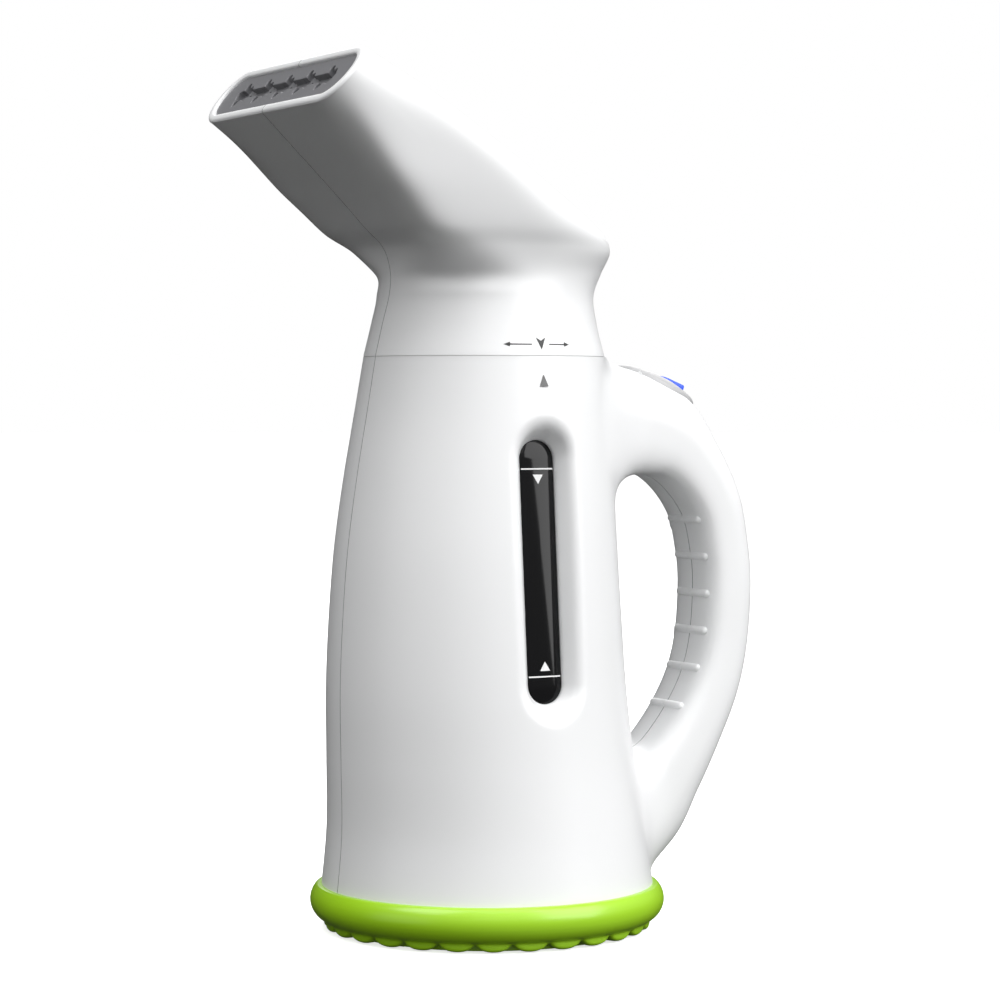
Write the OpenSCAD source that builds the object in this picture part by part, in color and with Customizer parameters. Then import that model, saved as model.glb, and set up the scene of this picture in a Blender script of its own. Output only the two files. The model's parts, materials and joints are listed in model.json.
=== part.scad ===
// Handheld garment steamer: a round water body with a loop handle, and a spout head
// that twists off for filling. +Z is up, the spout points along -Y, the handle is at +Y,
// and the origin is the centre of the base ring on the table. Millimetres.

/* [Shell] */
// Wall thickness of the moulded shells
wall = 2.2; // [1.6:0.1:2.6]
// Points round a body or head cross-section
facets = 40; // [24:8:64]
// Gap between the head and the body along the twist joint
seam_gap = 0.4; // [0.3:0.1:0.8]

/* [Base] */
// Number of rounded lobes under the base ring
lobe_count = 28; // [20:1:32]
// Radius of each lobe
lobe_r = 6.35; // [5.5:0.05:7]

/* [Spout] */
// Angle between the nozzle plate and the table
nozzle_tilt = 50; // [45:1:55]
// Half the straight length of the nozzle plate
plate_half = 35; // [30:1:35]
// End radius of the nozzle plate
plate_r = 7.2; // [6:0.1:7.4]
// Number of steam ports in the nozzle plate
port_count = 5; // [3:1:7]
// Distance between steam ports
port_pitch = 14; // [8:0.5:14]

/* [Window] */
// Half the width of the visible lens
lens_half_w = 5.4; // [4:0.1:6]
// Half the height of the visible lens
lens_half_h = 37; // [30:1:38]

/* [Grip] */
// Number of grip ribs inside the handle
rib_count = 6; // [3:1:7]
// Height between grip ribs
rib_pitch = 11; // [8:0.5:12]

/* [Switch] */
// Width of the rocker
rocker_w = 8.6; // [6:0.1:9]

/* [Hidden] */
$fn = 64;

far = 200;            // longer than any part of the object
eps = 0.05;           // overshoot that keeps cuts clean
slip = 0.05;          // radial clearance round a screw or pin
axis_y = -1;          // the tank, collar and head turn about this line
seam_z = 165;         // underside of the head
shell_top = seam_z - seam_gap;
ring_top = 13.1;      // the body shells stand on the base ring here

// Body sections from the bottom up: height, radius, forward shift of the centre
BODY = [[ring_top, 47.9, 0], [30, 46, 0.5], [50, 44.4, 2.3], [70, 43.3, 3.6], [90, 42.2, 3.9],
    [110, 40.8, 3.7], [130, 38.9, 2.8], [150, 36.6, 1.6], [shell_top, 34.7, 1]];
BODY_RINGS = 16;

// Handle sections from its upper root round to its lower root:
// y, z, half thickness in the plane of symmetry, half width across it
HANDLE = [[24, 143, 15, 14], [40.5, 146.2, 15.8, 14], [56, 142.8, 13.9, 13.5], [66, 134.4, 10.6, 13],
    [74, 122, 9, 12.6], [77.3, 108, 8.5, 12.4], [78.2, 96, 8.5, 12.4], [76.9, 80, 8.5, 12.4],
    [73.6, 67.4, 8.8, 12.6], [67.4, 55, 9.6, 12.8], [59, 42.2, 11.4, 13], [49, 29.5, 13.4, 13],
    [38, 24, 9, 12]];
HANDLE_RINGS = 26;
HANDLE_FACETS = 24;
HANDLE_OUT = 2.3;     // roundness of the palm side
HANDLE_IN = 4.5;      // roundness of the finger side, which is flatter

// Head sections from the neck to the nozzle: front y, front z, rear y, rear z,
// half width, roundness of the front side, roundness of the rear side, stadium share
HEAD = [[-35.7, seam_z, 33.7, seam_z, 34.7, 2, 2, 0],
    [-33.4, 174.4, 31.4, 174, 32.6, 2, 2, 0],
    [-31.4, 182, 30, 182, 31.2, 2.1, 2.1, 0],
    [-31, 188.6, 32.2, 188.5, 30.9, 2.4, 2.2, 0],
    [-33.2, 195.3, 33.2, 195, 32.6, 5, 2.6, 0],
    [-38.6, 200.5, 26.8, 201, 35, 9, 3, 0],
    [-44.5, 206.5, 9.6, 211.6, 37.3, 9, 3.6, 0],
    [-52.4, 214.3, -13.8, 225.2, 40, 8, 4.6, 0],
    [-61.2, 222.8, -36.6, 238, 42.8, 6, 5.2, 0.3],
    [-70.9, 232.3, -57.9, 247.7, 45, 5, 5, 1]];
HEAD_RINGS = 20;
NOZZLE = [0, -64.4, 240];
nozzle_wall = 3.9;    // wall round the nozzle, which makes the ledge for the plate
plate_t = 2.4;
plate_inset = 0.8;    // the plate lies this far below the rim

// Bulge of the base ring
bulge_r = 45.2;
bulge_z = 8.6;
bulge_round = 6;
lobe_out = 47.2;      // outer radius of the lobes
cover_r = 42.3;
cover_z = 6;          // underside of the base cover
post_r = 38.5;        // the base screws stand on this circle
post_angle = 30;

// Window frame: its place on the wall, and how far it leans back
WINDOW = [41, -1, 105];
window_lean = 4.6;
lens_depth = 7.2;     // lens face below the outer wall
lens_t = 1.8;
rim_half_w = 10;
rim_half_h = 40.6;
boss_depth = 9.1;

// Grip ribs on the finger side of the handle
top_rib_z = 116.8;
rib_r = 1;
rib_sink = 0.2;
rib_half = 9.3;

// Switch frame on top of the handle, and the torus that its bezel follows
SWITCH = [0, 56.8, 156.7];
switch_tilt = 25;
bezel_crown = 2.9;
bezel_tube_r = 13.6;
bezel_bend_r = 21.2;
bezel_t = 1.6;
bezel_half_l = 14.5;
bezel_half_w = 8.6;
pocket_half_w = 6.9;
pocket_half_l = 10.4;
rocker_half_l = 7.6;
housing_depth = 14;
pivot_z = -2.5;
pin_r = 0.8;
arm_z = -9;

// Screws of the handle and head, as y and z; the heads are sunk on the right side
SHELL_SCREWS = [[73.2, 116.2], [74.8, 82], [63.3, 53]];
HEAD_SCREWS = [[17, 190], [-8, 213]];
screw_r = 1.5;
screw_head_r = 2.8;
screw_head_t = 2;
boss_r = 2.9;
WEB_ANGLES = [15, 55, 125, 165, 205, 245, 295, 335];

// Tank and heater levels
heater_z = 40;
flange_r = 38.5;
flange_z = 43;
gasket_z = 46;
gasket_t = 0.8;
tank_z = gasket_z + gasket_t;
tank_low_r = 33;
tank_high_r = 26.6;
tank_shoulder_z = 141;
tank_top_z = 151;
tank_wall = 2;
mouth_r = 19.5;
element_r = 24;
element_tube_r = 3.2;

// Twist joint
plug_r = 23.6;
plug_bottom = 152.9;
lug_r = 27.4;
lug_half_angle = 12;
collar_r = 32;
collar_z = 151.6;
collar_lip_z = 158.8;
collar_top = 163.4;
twist_angle = 30;

// Steam duct
duct_r = 8.5;
duct_wall = 1.6;
duct_bend_r = 24;
duct_corner_z = 186.8;
duct_foot_z = 168;
manifold_back = -15;
manifold_half = 29;

// Cord gland, square so that it can't turn, on the rear right where the wall is free
GLAND_DIR = [-0.8, 0.6];
gland_angle = atan2(GLAND_DIR[1], GLAND_DIR[0]);
gland_z = 26;
gland_in = 41;
gland_out = 48.25;
cord_bore_r = 3.1;
wire_r = 1.1;

white = [0.95, 0.95, 0.96];
grey = [0.75, 0.76, 0.78];
dark = [0.3, 0.3, 0.32];
lime = [0.53, 0.8, 0.1];
blue = [0.16, 0.4, 1];
steel = [0.72, 0.73, 0.75];
silicone = [0.85, 0.83, 0.78];

// ---- curves and lofts ----

function key(k, i) = k[min(max(i, 0), len(k) - 1)];
function catmull(a, b, c, d, t) =
    (2 * b + (c - a) * t + (2 * a - 5 * b + 4 * c - d) * t * t + (3 * b - a - 3 * c + d) * t * t * t) / 2;
// Smooth value through the keys k, with u running from 0 to 1
function spline(k, u) =
    let (s = u * (len(k) - 1), i = min(floor(s), len(k) - 2))
    catmull(key(k, i - 1), key(k, i), key(k, i + 1), key(k, i + 2), s - i);
function power(v, n) = sign(v) * pow(abs(v), 2 / n);
function clamp(v, limit) = min(max(v, -limit), limit);
function unit(v) = v / norm(v);

// Closed solid through a list of rings, each turning left as seen from the end it leads to
module loft(rings) {
    n = len(rings[0]);
    m = len(rings);
    polyhedron(
        points = [for (r = rings) each r],
        faces = concat(
            [[for (i = [0:n - 1]) i]],
            [for (k = [0:m - 2], i = [0:n - 1]) let (j = (i + 1) % n)
                [k * n + i, (k + 1) * n + i, (k + 1) * n + j, k * n + j]],
            [[for (i = [n - 1:-1:0]) (m - 1) * n + i]]));
}

function body_ring(key3, inset, z) =
    [for (i = [0:facets - 1]) let (a = 360 * i / facets)
        [(key3[1] - inset) * cos(a), (key3[1] - inset) * sin(a) - key3[2], z]];
function body_rings(inset, over) =
    [for (k = [0:BODY_RINGS]) let (s = spline(BODY, k / BODY_RINGS))
        body_ring(s, inset, s[0] + (k == 0 ? -over : k == BODY_RINGS ? over : 0))];

function handle_at(u) = spline(HANDLE, u);
function handle_tangent(u) =
    let (a = handle_at(max(u - 0.01, 0)), b = handle_at(min(u + 0.01, 1)))
    unit([b[0] - a[0], b[1] - a[1]]);
// Point of the handle at u, x across it and out towards its palm side
function handle_point(u, x, out) =
    let (p = handle_at(u), t = handle_tangent(u)) [x, p[0] - t[1] * out, p[1] + t[0] * out];
function handle_ring(u, inset) =
    let (p = handle_at(u), w = p[3] - inset, h = p[2] - inset)
    [for (i = [0:HANDLE_FACETS - 1])
        let (a = 360 * i / HANDLE_FACETS, n = sin(a) >= 0 ? HANDLE_OUT : HANDLE_IN)
        handle_point(u, -w * power(cos(a), n), h * power(sin(a), n))];
function handle_rings(inset) = [for (k = [0:HANDLE_RINGS]) handle_ring(k / HANDLE_RINGS, inset)];

function head_ring(s, inset, lift) =
    let (front = [s[0], s[1]], rear = [s[2], s[3]], mid = (front + rear) / 2,
        up = unit(rear - front), h = norm(rear - front) / 2 - inset, w = s[4] - inset)
    [for (i = [0:facets - 1])
        let (a = 360 * i / facets, n = sin(a) >= 0 ? s[6] : s[5],
            p = [w * power(cos(a), n), h * power(sin(a), n)],
            core = [clamp(p[0], w - h), 0],
            q = w > h ? p + (core + h * unit(p - core) - p) * s[7] : p)
        [q[0], mid[0] + up[0] * q[1], mid[1] + up[1] * q[1] + lift]];
function head_rings(inset, rim_inset, over) =
    [for (k = [0:HEAD_RINGS]) let (u = k / HEAD_RINGS)
        head_ring(spline(HEAD, u), inset + (rim_inset - inset) * pow(u, 8), k == 0 ? -over : 0)];

// Tube along a list of points
module tube(route, r, sides = 8) {
    last = len(route) - 1;
    loft([for (k = [0:last])
        let (d = unit(route[min(k + 1, last)] - route[max(k - 1, 0)]),
            side = unit(cross(d, abs(d[0]) < 0.9 ? [1, 0, 0] : [0, 1, 0])),
            up = cross(d, side))
        [for (i = [0:sides - 1]) let (a = 360 * i / sides)
            route[k] + side * r * cos(a) + up * r * sin(a)]]);
}

// ---- frames and small shapes ----

module at_axis(z = 0) translate([0, axis_y, z]) children();
module at_nozzle() translate(NOZZLE) rotate([nozzle_tilt, 0, 0]) children();
module at_window() translate(WINDOW) rotate([0, -window_lean, 0]) rotate([90, 0, 90]) children();
module at_switch() translate(SWITCH) rotate([-switch_tilt, 0, 0]) children();
module at_gland() translate([0, 0, gland_z]) rotate([0, 0, gland_angle]) rotate([0, 90, 0]) children();
module around(count, r, first = 0)
    for (i = [0:count - 1]) rotate([0, 0, first + 360 * i / count]) translate([r, 0, 0]) children();
module half(side) intersection() {
    children();
    translate([side > 0 ? 0 : -far, -far, -far / 2]) cube([far, 2 * far, 2 * far]);
}
module ring(outer, inner, h) difference() {
    cylinder(r = outer, h = h);
    translate([0, 0, -1]) cylinder(r = inner, h = h + 2);
}
// Flat solid with round ends, half_l to the centre of each end
module stadium(half_l, r, h) {
    translate([-half_l, -r, 0]) cube([2 * half_l, 2 * r, h]);
    for (s = [-1, 1]) translate([s * half_l, 0, 0]) cylinder(r = r, h = h);
}
// The same, standing up in the frame of the window
module upright(half_w, half_h, h) rotate([0, 0, 90]) stadium(half_h - half_w, half_w, h);
module square_block(half, z0, z1) translate([-half, -half, z0]) cube([2 * half, 2 * half, z1 - z0]);
module across(p, x0, x1, r) translate([x0, p[0], p[1]]) rotate([0, 90, 0]) cylinder(r = r, h = x1 - x0);
// Screw along +X with its head towards -X, seated at x
module side_screw(p, x, length) difference() {
    union() {
        across(p, x, x + length, screw_r);
        across(p, x - screw_head_t, x, screw_head_r);
    }
    translate([x - screw_head_t - eps, p[0] - 0.4, p[1] - 2]) cube([1, 0.8, 4]);
    translate([x - screw_head_t - eps, p[0] - 2, p[1] - 0.4]) cube([1, 4, 0.8]);
}
// Screw along +Z with its head below, seated at z = 0
module up_screw(r, head_r, length) difference() {
    union() {
        cylinder(r = r, h = length);
        translate([0, 0, -screw_head_t]) cylinder(r = head_r, h = screw_head_t);
    }
    for (a = [0, 90]) rotate([0, 0, a]) translate([-0.4, -head_r * 0.7, -screw_head_t - eps])
        cube([0.8, head_r * 1.4, 1]);
}

// ---- body ----

// Finger side of the handle at u, and the u where it is at height z
function finger_side(u) = handle_point(u, 0, -handle_at(u)[2]);
function u_at_height(z, lo = 0.2, hi = 0.85, tries = 14) = let (mid = (lo + hi) / 2)
    tries == 0 ? mid : finger_side(mid)[2] > z ? u_at_height(z, mid, hi, tries - 1)
        : u_at_height(z, lo, mid, tries - 1);

module grip_ribs()
    for (i = [0:rib_count - 1]) let (u = u_at_height(top_rib_z - i * rib_pitch)) {
        at = handle_point(u, 0, rib_sink - handle_at(u)[2]);
        across([at[1], at[2]], -rib_half, rib_half, rib_r);
        for (s = [-1, 1]) translate([s * rib_half, at[1], at[2]]) sphere(r = rib_r);
    }

module bezel_outline(grow, z0, h) intersection_for(s = [-1, 1]) {
    r = (bezel_half_l * bezel_half_l + bezel_half_w * bezel_half_w) / 2 / bezel_half_w;
    translate([s * (r - bezel_half_w), 0, z0]) cylinder(r = r + grow, h = h);
}

// Solid torus whose top is the bezel's face, or lies below it
module bezel_torus(below) translate([0, 0, bezel_crown - bezel_tube_r - bezel_bend_r]) rotate([0, 90, 0])
    rotate_extrude() translate([bezel_bend_r, 0]) circle(r = bezel_tube_r - below);

module switch_pocket() at_switch() {
    intersection() {
        translate([-pocket_half_w, -pocket_half_l, -12]) cube([2 * pocket_half_w, 2 * pocket_half_l, 20]);
        bezel_outline(-0.3, -13, 22);
    }
    difference() {
        bezel_outline(0.15, -8, 18);
        bezel_torus(bezel_t + 0.05);
    }
}

module body_webs() {
    // shelves under the tank flange and under the collar
    for (a = WEB_ANGLES) at_axis() rotate([0, 0, a]) {
        translate([37, -1, flange_z - 4]) cube([6.9, 2, 4]);
        translate([28.6, -1, collar_z - 5]) cube([7.2, 2, 5]);
    }
    // posts for the base screws, tied to the wall
    around(4, post_r, post_angle) translate([0, 0, 8.7]) cylinder(r = 3.6, h = 15);
    around(4, post_r, post_angle) translate([0, -1, ring_top + 5.5]) cube([7, 2, 4.7]);
}

module body_solid(side) {
    difference() {
        union() {
            difference() {
                union() {
                    half(side) loft(body_rings(0, 0));
                    half(side) loft(handle_rings(0));
                }
                loft(body_rings(wall, 2));
                loft(handle_rings(wall));
            }
            half(side) grip_ribs();
            half(side) body_webs();
        }
        switch_pocket();
        around(4, post_r, post_angle) translate([0, 0, 5]) cylinder(r = screw_r + slip, h = 17);
        // hole for the gland, with a flat seat for each of its flanges
        at_gland() {
            square_block(5.1, 30, 60);
            square_block(7.1, gland_out - 2.3, 60);
            square_block(6.7, 38, 43.5);
        }
        translate([0, 0, ring_top - far]) difference() {
            cylinder(r = far, h = far);
            around(4, post_r, post_angle) translate([0, 0, far - 6]) cylinder(r = 4, h = 8);
        }
    }
}

module body_shell_left() color(white) difference() {
    union() {
        body_solid(1);
        at_window() translate([0, 0, -boss_depth])
            upright(lens_half_w + 5, lens_half_h + 5, boss_depth - 1.5);
        for (p = SHELL_SCREWS) across(p, 0, 11.6, boss_r);
    }
    at_window() {
        translate([0, 0, -boss_depth - 1]) upright(lens_half_w, lens_half_h, boss_depth + 2);
        hull() {
            translate([0, 0, -lens_depth]) upright(lens_half_w, lens_half_h, 0.1, $fn = 32);
            translate([0, 0, 1]) upright(rim_half_w + 0.8, rim_half_h + 0.8, 0.1, $fn = 32);
        }
    }
    for (p = SHELL_SCREWS) across(p, -1, 8, screw_r + slip);
}

module body_shell_right() color(white) difference() {
    union() {
        body_solid(-1);
        for (p = SHELL_SCREWS) across(p, -11.6, 0, boss_r + 0.9);
    }
    for (p = SHELL_SCREWS) {
        across(p, -8, 1, screw_r + slip);
        across(p, -20, -6, screw_head_r + slip);
    }
}

module shell_screws() color(steel) for (p = SHELL_SCREWS) side_screw(p, -6, 13.5);

// ---- base ----

// Half section of the ring: a round bulge, the flat foot, the ledge and the lip inside the shell
module ring_profile() {
    intersection() {
        translate([bulge_r, bulge_z]) circle(r = bulge_round);
        translate([cover_r + 0.3, 0]) square([20, ring_top]);
    }
    translate([35, 0]) square([7, cover_z]);
    translate([41, 3.4]) square([2, cover_z - 3.4]);
    translate([cover_r + 0.3, 3.4]) square([3, ring_top - 3.4]);
    translate([cover_r + 0.3, ring_top - 1]) square([2, 6]);
}
// Half section of the space that the lobes fill
module lobe_profile() {
    translate([lobe_out - 1.8, 1.8]) circle(r = 1.8);
    translate([40, 0]) square([lobe_out - 41.8, cover_z]);
    translate([44, 1.8]) square([lobe_out - 44, cover_z - 1.8]);
}

module base_ring() color(lime) difference() {
    union() {
        rotate_extrude($fn = 128) ring_profile();
        intersection() {
            rotate_extrude($fn = 128) lobe_profile();
            around(lobe_count, 39) translate([0, 0, lobe_r + 0.05]) rotate([0, 90, 0])
                cylinder(r = lobe_r, h = 14);
        }
    }
    around(4, post_r, post_angle) {
        translate([0, 0, -1]) cylinder(r = screw_head_r + 0.2, h = 4.5);
        translate([0, 0, -1]) cylinder(r = screw_r + slip, h = 20);
    }
}

module base_cover() color(dark) difference() {
    union() {
        translate([0, 0, cover_z]) cylinder(r = cover_r, h = 2.5);
        rotate([0, 0, gland_angle]) translate([24, -9, 8]) cube([7, 18, gland_z - 8]);
    }
    around(4, post_r, post_angle) cylinder(r = screw_r + slip, h = 20);
    at_gland() cylinder(r = 3.2, h = 40);
    rotate([0, 0, gland_angle]) for (s = [-1, 1])
        translate([27.5, s * 6.2, gland_z - 8]) cylinder(r = 1.2, h = 9);
    // vents
    for (i = [-3:3]) translate([-12, i * 4 - 0.9, 5]) cube([24, 1.8, 5]);
}

module base_screws() color(steel) around(4, post_r, post_angle) translate([0, 0, 3.5])
    up_screw(screw_r, screw_head_r, 18);

module cord_gland() color(dark) difference() {
    at_gland() {
        square_block(5, gland_in, gland_out);
        square_block(7, gland_out - 2.2, gland_out);
        square_block(6.6, gland_in, gland_in + 2.4);
    }
    at_gland() translate([0, 0, 30]) cylinder(r = cord_bore_r, h = 30);
}

module cord_clamp() color(grey) rotate([0, 0, gland_angle]) difference() {
    translate([24.2, -9, gland_z]) cube([6.6, 18, 4.5]);
    translate([20, 0, gland_z]) rotate([0, 90, 0]) cylinder(r = 3.2, h = 20);
    for (s = [-1, 1]) translate([27.5, s * 6.2, gland_z - 1]) cylinder(r = 1.3, h = 9);
}

module clamp_screws() color(steel) rotate([0, 0, gland_angle]) for (s = [-1, 1])
    translate([27.5, s * 6.2, gland_z + 4.5]) mirror([0, 0, 1]) up_screw(1.15, 2.2, 11);

// ---- window ----

module gauge_lens() color([0.1, 0.1, 0.12, 0.7]) at_window() {
    translate([0, 0, -boss_depth - lens_t]) upright(lens_half_w + 4, lens_half_h + 4, lens_t - 0.6);
    translate([0, 0, -boss_depth - 0.7])
        upright(lens_half_w - 0.1, lens_half_h - 0.1, boss_depth - lens_depth + 0.9);
}

module lens_gasket() color(silicone) at_window() difference() {
    translate([0, 0, -boss_depth - 0.6]) upright(lens_half_w + 3.6, lens_half_h + 3.6, 0.6);
    translate([0, 0, -boss_depth - 1]) upright(lens_half_w + 0.4, lens_half_h + 0.4, 2);
}

// ---- tank and heater ----

module water_tank() color([0.85, 0.9, 0.95, 0.5]) at_axis() difference() {
    union() {
        rotate_extrude() difference() {
            polygon([[0, tank_z], [flange_r, tank_z], [flange_r, tank_z + 3],
                [tank_low_r + 0.4, tank_z + 3], [tank_high_r, tank_shoulder_z],
                [mouth_r + tank_wall, tank_shoulder_z + 6], [mouth_r + tank_wall, tank_top_z],
                [0, tank_top_z]]);
            polygon([[0, tank_z - 1], [tank_low_r - tank_wall, tank_z - 1],
                [tank_low_r - tank_wall, tank_z + 3],
                [tank_high_r - tank_wall, tank_shoulder_z - 1], [mouth_r, tank_shoulder_z + 5],
                [mouth_r, tank_top_z + 1], [0, tank_top_z + 1]]);
        }
        around(6, 36, 30) translate([0, 0, tank_z]) cylinder(r = 2.4, h = 7);
    }
    around(6, 36, 30) translate([0, 0, tank_z - 1]) cylinder(r = 1.4 + slip, h = 7);
}

module heater_plate() color([0.8, 0.8, 0.82]) at_axis() difference() {
    union() {
        translate([0, 0, heater_z]) cylinder(r = 31, h = gasket_z - heater_z);
        translate([0, 0, flange_z]) cylinder(r = flange_r, h = gasket_z - flange_z);
    }
    around(6, 36, 30) translate([0, 0, flange_z - 1]) cylinder(r = 1.4 + slip, h = 6);
    for (s = [-1, 1]) translate([s * 9.5, 0, heater_z - 1]) cylinder(r = 1.05, h = 5);
    translate([0, 15, heater_z - 1]) cylinder(r = 1.05, h = 5);
}

module heater_gasket() color(silicone) at_axis(gasket_z) difference() {
    ring(flange_r, tank_low_r - 2, gasket_t);
    around(6, 36, 30) translate([0, 0, -1]) cylinder(r = 1.4 + slip, h = 3);
}

module heater_screws() color(steel) at_axis() around(6, 36, 30) translate([0, 0, flange_z])
    up_screw(1.4, 2.3, 9);

module heating_element() color([0.6, 0.6, 0.62]) at_axis(heater_z - element_tube_r) {
    rotate([0, 0, -60]) rotate_extrude(angle = 300) translate([element_r, 0]) circle(r = element_tube_r);
    for (a = [-60, 240]) rotate([0, 0, a]) translate([element_r, 0, -9]) {
        cylinder(r = element_tube_r, h = 9);
        translate([0, 0, -4]) cylinder(r = 1.2, h = 5);
    }
}

module thermostat() color([0.55, 0.5, 0.42]) at_axis(heater_z) difference() {
    union() {
        translate([0, 0, -6.5]) cylinder(r = 7, h = 6.5);
        translate([-12.5, -3, -0.8]) cube([25, 6, 0.8]);
        for (s = [-1, 1]) translate([s * 3.5 - 0.4, -3, -12]) cube([0.8, 6, 6]);
    }
    for (s = [-1, 1]) translate([s * 9.5, 0, -2]) cylinder(r = 1.1, h = 3);
}

module thermostat_screws() color(steel) at_axis(heater_z - 0.8) for (s = [-1, 1])
    translate([s * 9.5, 0, 0]) up_screw(1, 2, 4.5);

module thermal_fuse() color([0.8, 0.75, 0.6]) at_axis(heater_z - 2.5) translate([0, 13.5, 0]) {
    translate([-6, 0, 0]) rotate([0, 90, 0]) cylinder(r = 2, h = 12);
    for (s = [-1, 1]) translate([s * 8.5 - 2.6, 0, 0]) rotate([0, 90, 0]) cylinder(r = 0.5, h = 5.2);
}

module fuse_clip() color(steel) at_axis(heater_z) difference() {
    translate([-2.5, 10.5, -5.6]) cube([5, 6.4, 5.6]);
    translate([-3, 13.5, -2.5]) rotate([0, 90, 0]) cylinder(r = 2.02, h = 6);
    translate([-3, 11.5, -2.5]) cube([6, 4, 3]);
    translate([0, 15, -6]) cylinder(r = 1.1, h = 7);
}

module terminal_block() color([0.9, 0.88, 0.8]) difference() {
    translate([-9, 18, 8.5]) cube([18, 12, 9]);
    for (i = [-1, 0, 1]) translate([i * 5.6, 17, 13]) rotate([-90, 0, 0]) cylinder(r = 1.5, h = 14);
    for (i = [-1, 0, 1], y = [21, 27]) translate([i * 5.6, y, 13]) cylinder(r = 1.2, h = 6);
}

// ---- wires: routes inside the shells ----

module wire(points, r, steps) tube([for (k = [0:steps]) spline(points, k / steps)], r);
// Up the palm side of the handle, clear of the screw posts
function in_handle(x) =
    [for (u = [0.88:-0.05:0.4]) handle_point(u, x, handle_at(u)[2] - wall - wire_r - 1.7)];
function under_switch(x) =
    [handle_point(0.34, x, 2), handle_point(0.29, x, -1.5), handle_point(0.25, x, -4.5)];
// From the terminal block to the switch, on the side of x's sign
function handle_route(x) = concat(
    [[1.1 * x, 24, 13], [1.1 * x, 31.5, 13], [1.05 * x, 35.5, 14.8], [x, 40.5, 19]],
    in_handle(x * 0.8), under_switch(x * 0.7), [[x * 0.58, 57, 135], [x * 0.58, 55.3, 136]]);

module supply_wire() color([0.55, 0.25, 0.1]) wire(handle_route(5), wire_r, 48);
module switch_wire() color([0.1, 0.1, 0.1]) wire(handle_route(-5), wire_r, 48);
module neutral_wire() color([0.1, 0.3, 0.8])
    wire([[0, 24, 13], [0, 31, 13], [0.5, 33.5, 16.5], [4, 32, 21], [10, 27, 24], [14, 14, 24],
        [13, -6, 22], [12, -17, 21.5], [12, -21.8, 21.5]], wire_r, 32);
module fuse_wire() color([0.85, 0.85, 0.85])
    wire([[11.2, 12.5, 37.5], [13.5, 12, 36], [14, 9, 32], [10, 5, 29], [6, 2.5, 27], [5, -1, 26]],
        wire_r, 14);

// ---- twist joint ----

module tank_collar() color([0.88, 0.88, 0.88]) at_axis() difference() {
    translate([0, 0, collar_z]) cylinder(r = collar_r, h = collar_top - collar_z);
    translate([0, 0, collar_z - 1]) cylinder(r = lug_r + 0.5, h = collar_lip_z - collar_z + 1);
    translate([0, 0, collar_z - 1]) cylinder(r = plug_r + 0.4, h = 30);
    for (i = [0:2]) rotate([0, 0, 120 * i - twist_angle - lug_half_angle - 2])
        translate([0, 0, collar_lip_z - 1]) rotate_extrude(angle = 2 * lug_half_angle + 4)
            translate([plug_r - 1, 0]) square([lug_r + 1.3 - plug_r, 20]);
}

module neck_gasket() color(silicone) at_axis(tank_top_z) ring(mouth_r + 3.4, mouth_r, 1.6);

module bayonet_plug() color([0.9, 0.9, 0.9]) at_axis() difference() {
    union() {
        translate([0, 0, plug_bottom]) cylinder(r = plug_r, h = duct_foot_z - plug_bottom - eps);
        translate([0, 0, seam_z + 0.4]) cylinder(r = 31.6, h = 2.4);
        for (i = [0:2]) rotate([0, 0, 120 * i - lug_half_angle]) translate([0, 0, plug_bottom + 0.2])
            rotate_extrude(angle = 2 * lug_half_angle)
                translate([plug_r - 2, 0]) square([lug_r + 2 - plug_r, collar_lip_z - plug_bottom - 0.5]);
    }
    translate([0, 0, plug_bottom - 1]) cylinder(r = 19, h = 10);
    translate([0, 0, plug_bottom + 8]) cylinder(r = duct_r - duct_wall, h = 20);
}

module spill_baffle() color(grey) at_axis(plug_bottom + 1) difference() {
    cylinder(r = 18.95, h = 2);
    around(8, 13) translate([0, 0, -1]) cylinder(r = 1.6, h = 4);
    around(8, 7, 22.5) translate([0, 0, -1]) cylinder(r = 1.6, h = 4);
}

// ---- head ----

module head_bosses(side, r) for (p = HEAD_SCREWS) across(p, side > 0 ? 0 : -50, side > 0 ? 50 : 0, r);

// Webs that hold the plug's flange down
module head_webs() for (a = WEB_ANGLES) at_axis(seam_z + 3.2) rotate([0, 0, a])
    translate([26, -1, 0]) cube([10, 2, 4]);

module head_solid(side) difference() {
    union() {
        difference() {
            half(side) loft(head_rings(0, 0, 0));
            half(side) loft(head_rings(wall, nozzle_wall, 1));
        }
        intersection() {
            union() {
                head_bosses(side, side > 0 ? boss_r : boss_r + 0.9);
                half(side) head_webs();
            }
            loft(head_rings(wall / 2, wall / 2, 1));
        }
    }
    at_nozzle() translate([0, 0, -plate_t - plate_inset]) stadium(plate_half, plate_r + 0.1, 10);
    at_nozzle() translate([0, 0, -20]) stadium(plate_half, plate_r - 1.1, 30);
}

module head_shell_left() color(white) difference() {
    head_solid(1);
    for (p = HEAD_SCREWS) across(p, -1, 10, screw_r + slip);
}

module head_shell_right() color(white) difference() {
    head_solid(-1);
    for (p = HEAD_SCREWS) {
        across(p, -12, 1, screw_r + slip);
        across(p, -50, -10, screw_head_r + slip);
    }
}

module head_screws() color(steel) for (p = HEAD_SCREWS) side_screw(p, -10, 19);

module duct_gasket() color(silicone) at_axis(duct_foot_z) ring(15, duct_r - duct_wall, 1);

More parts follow.
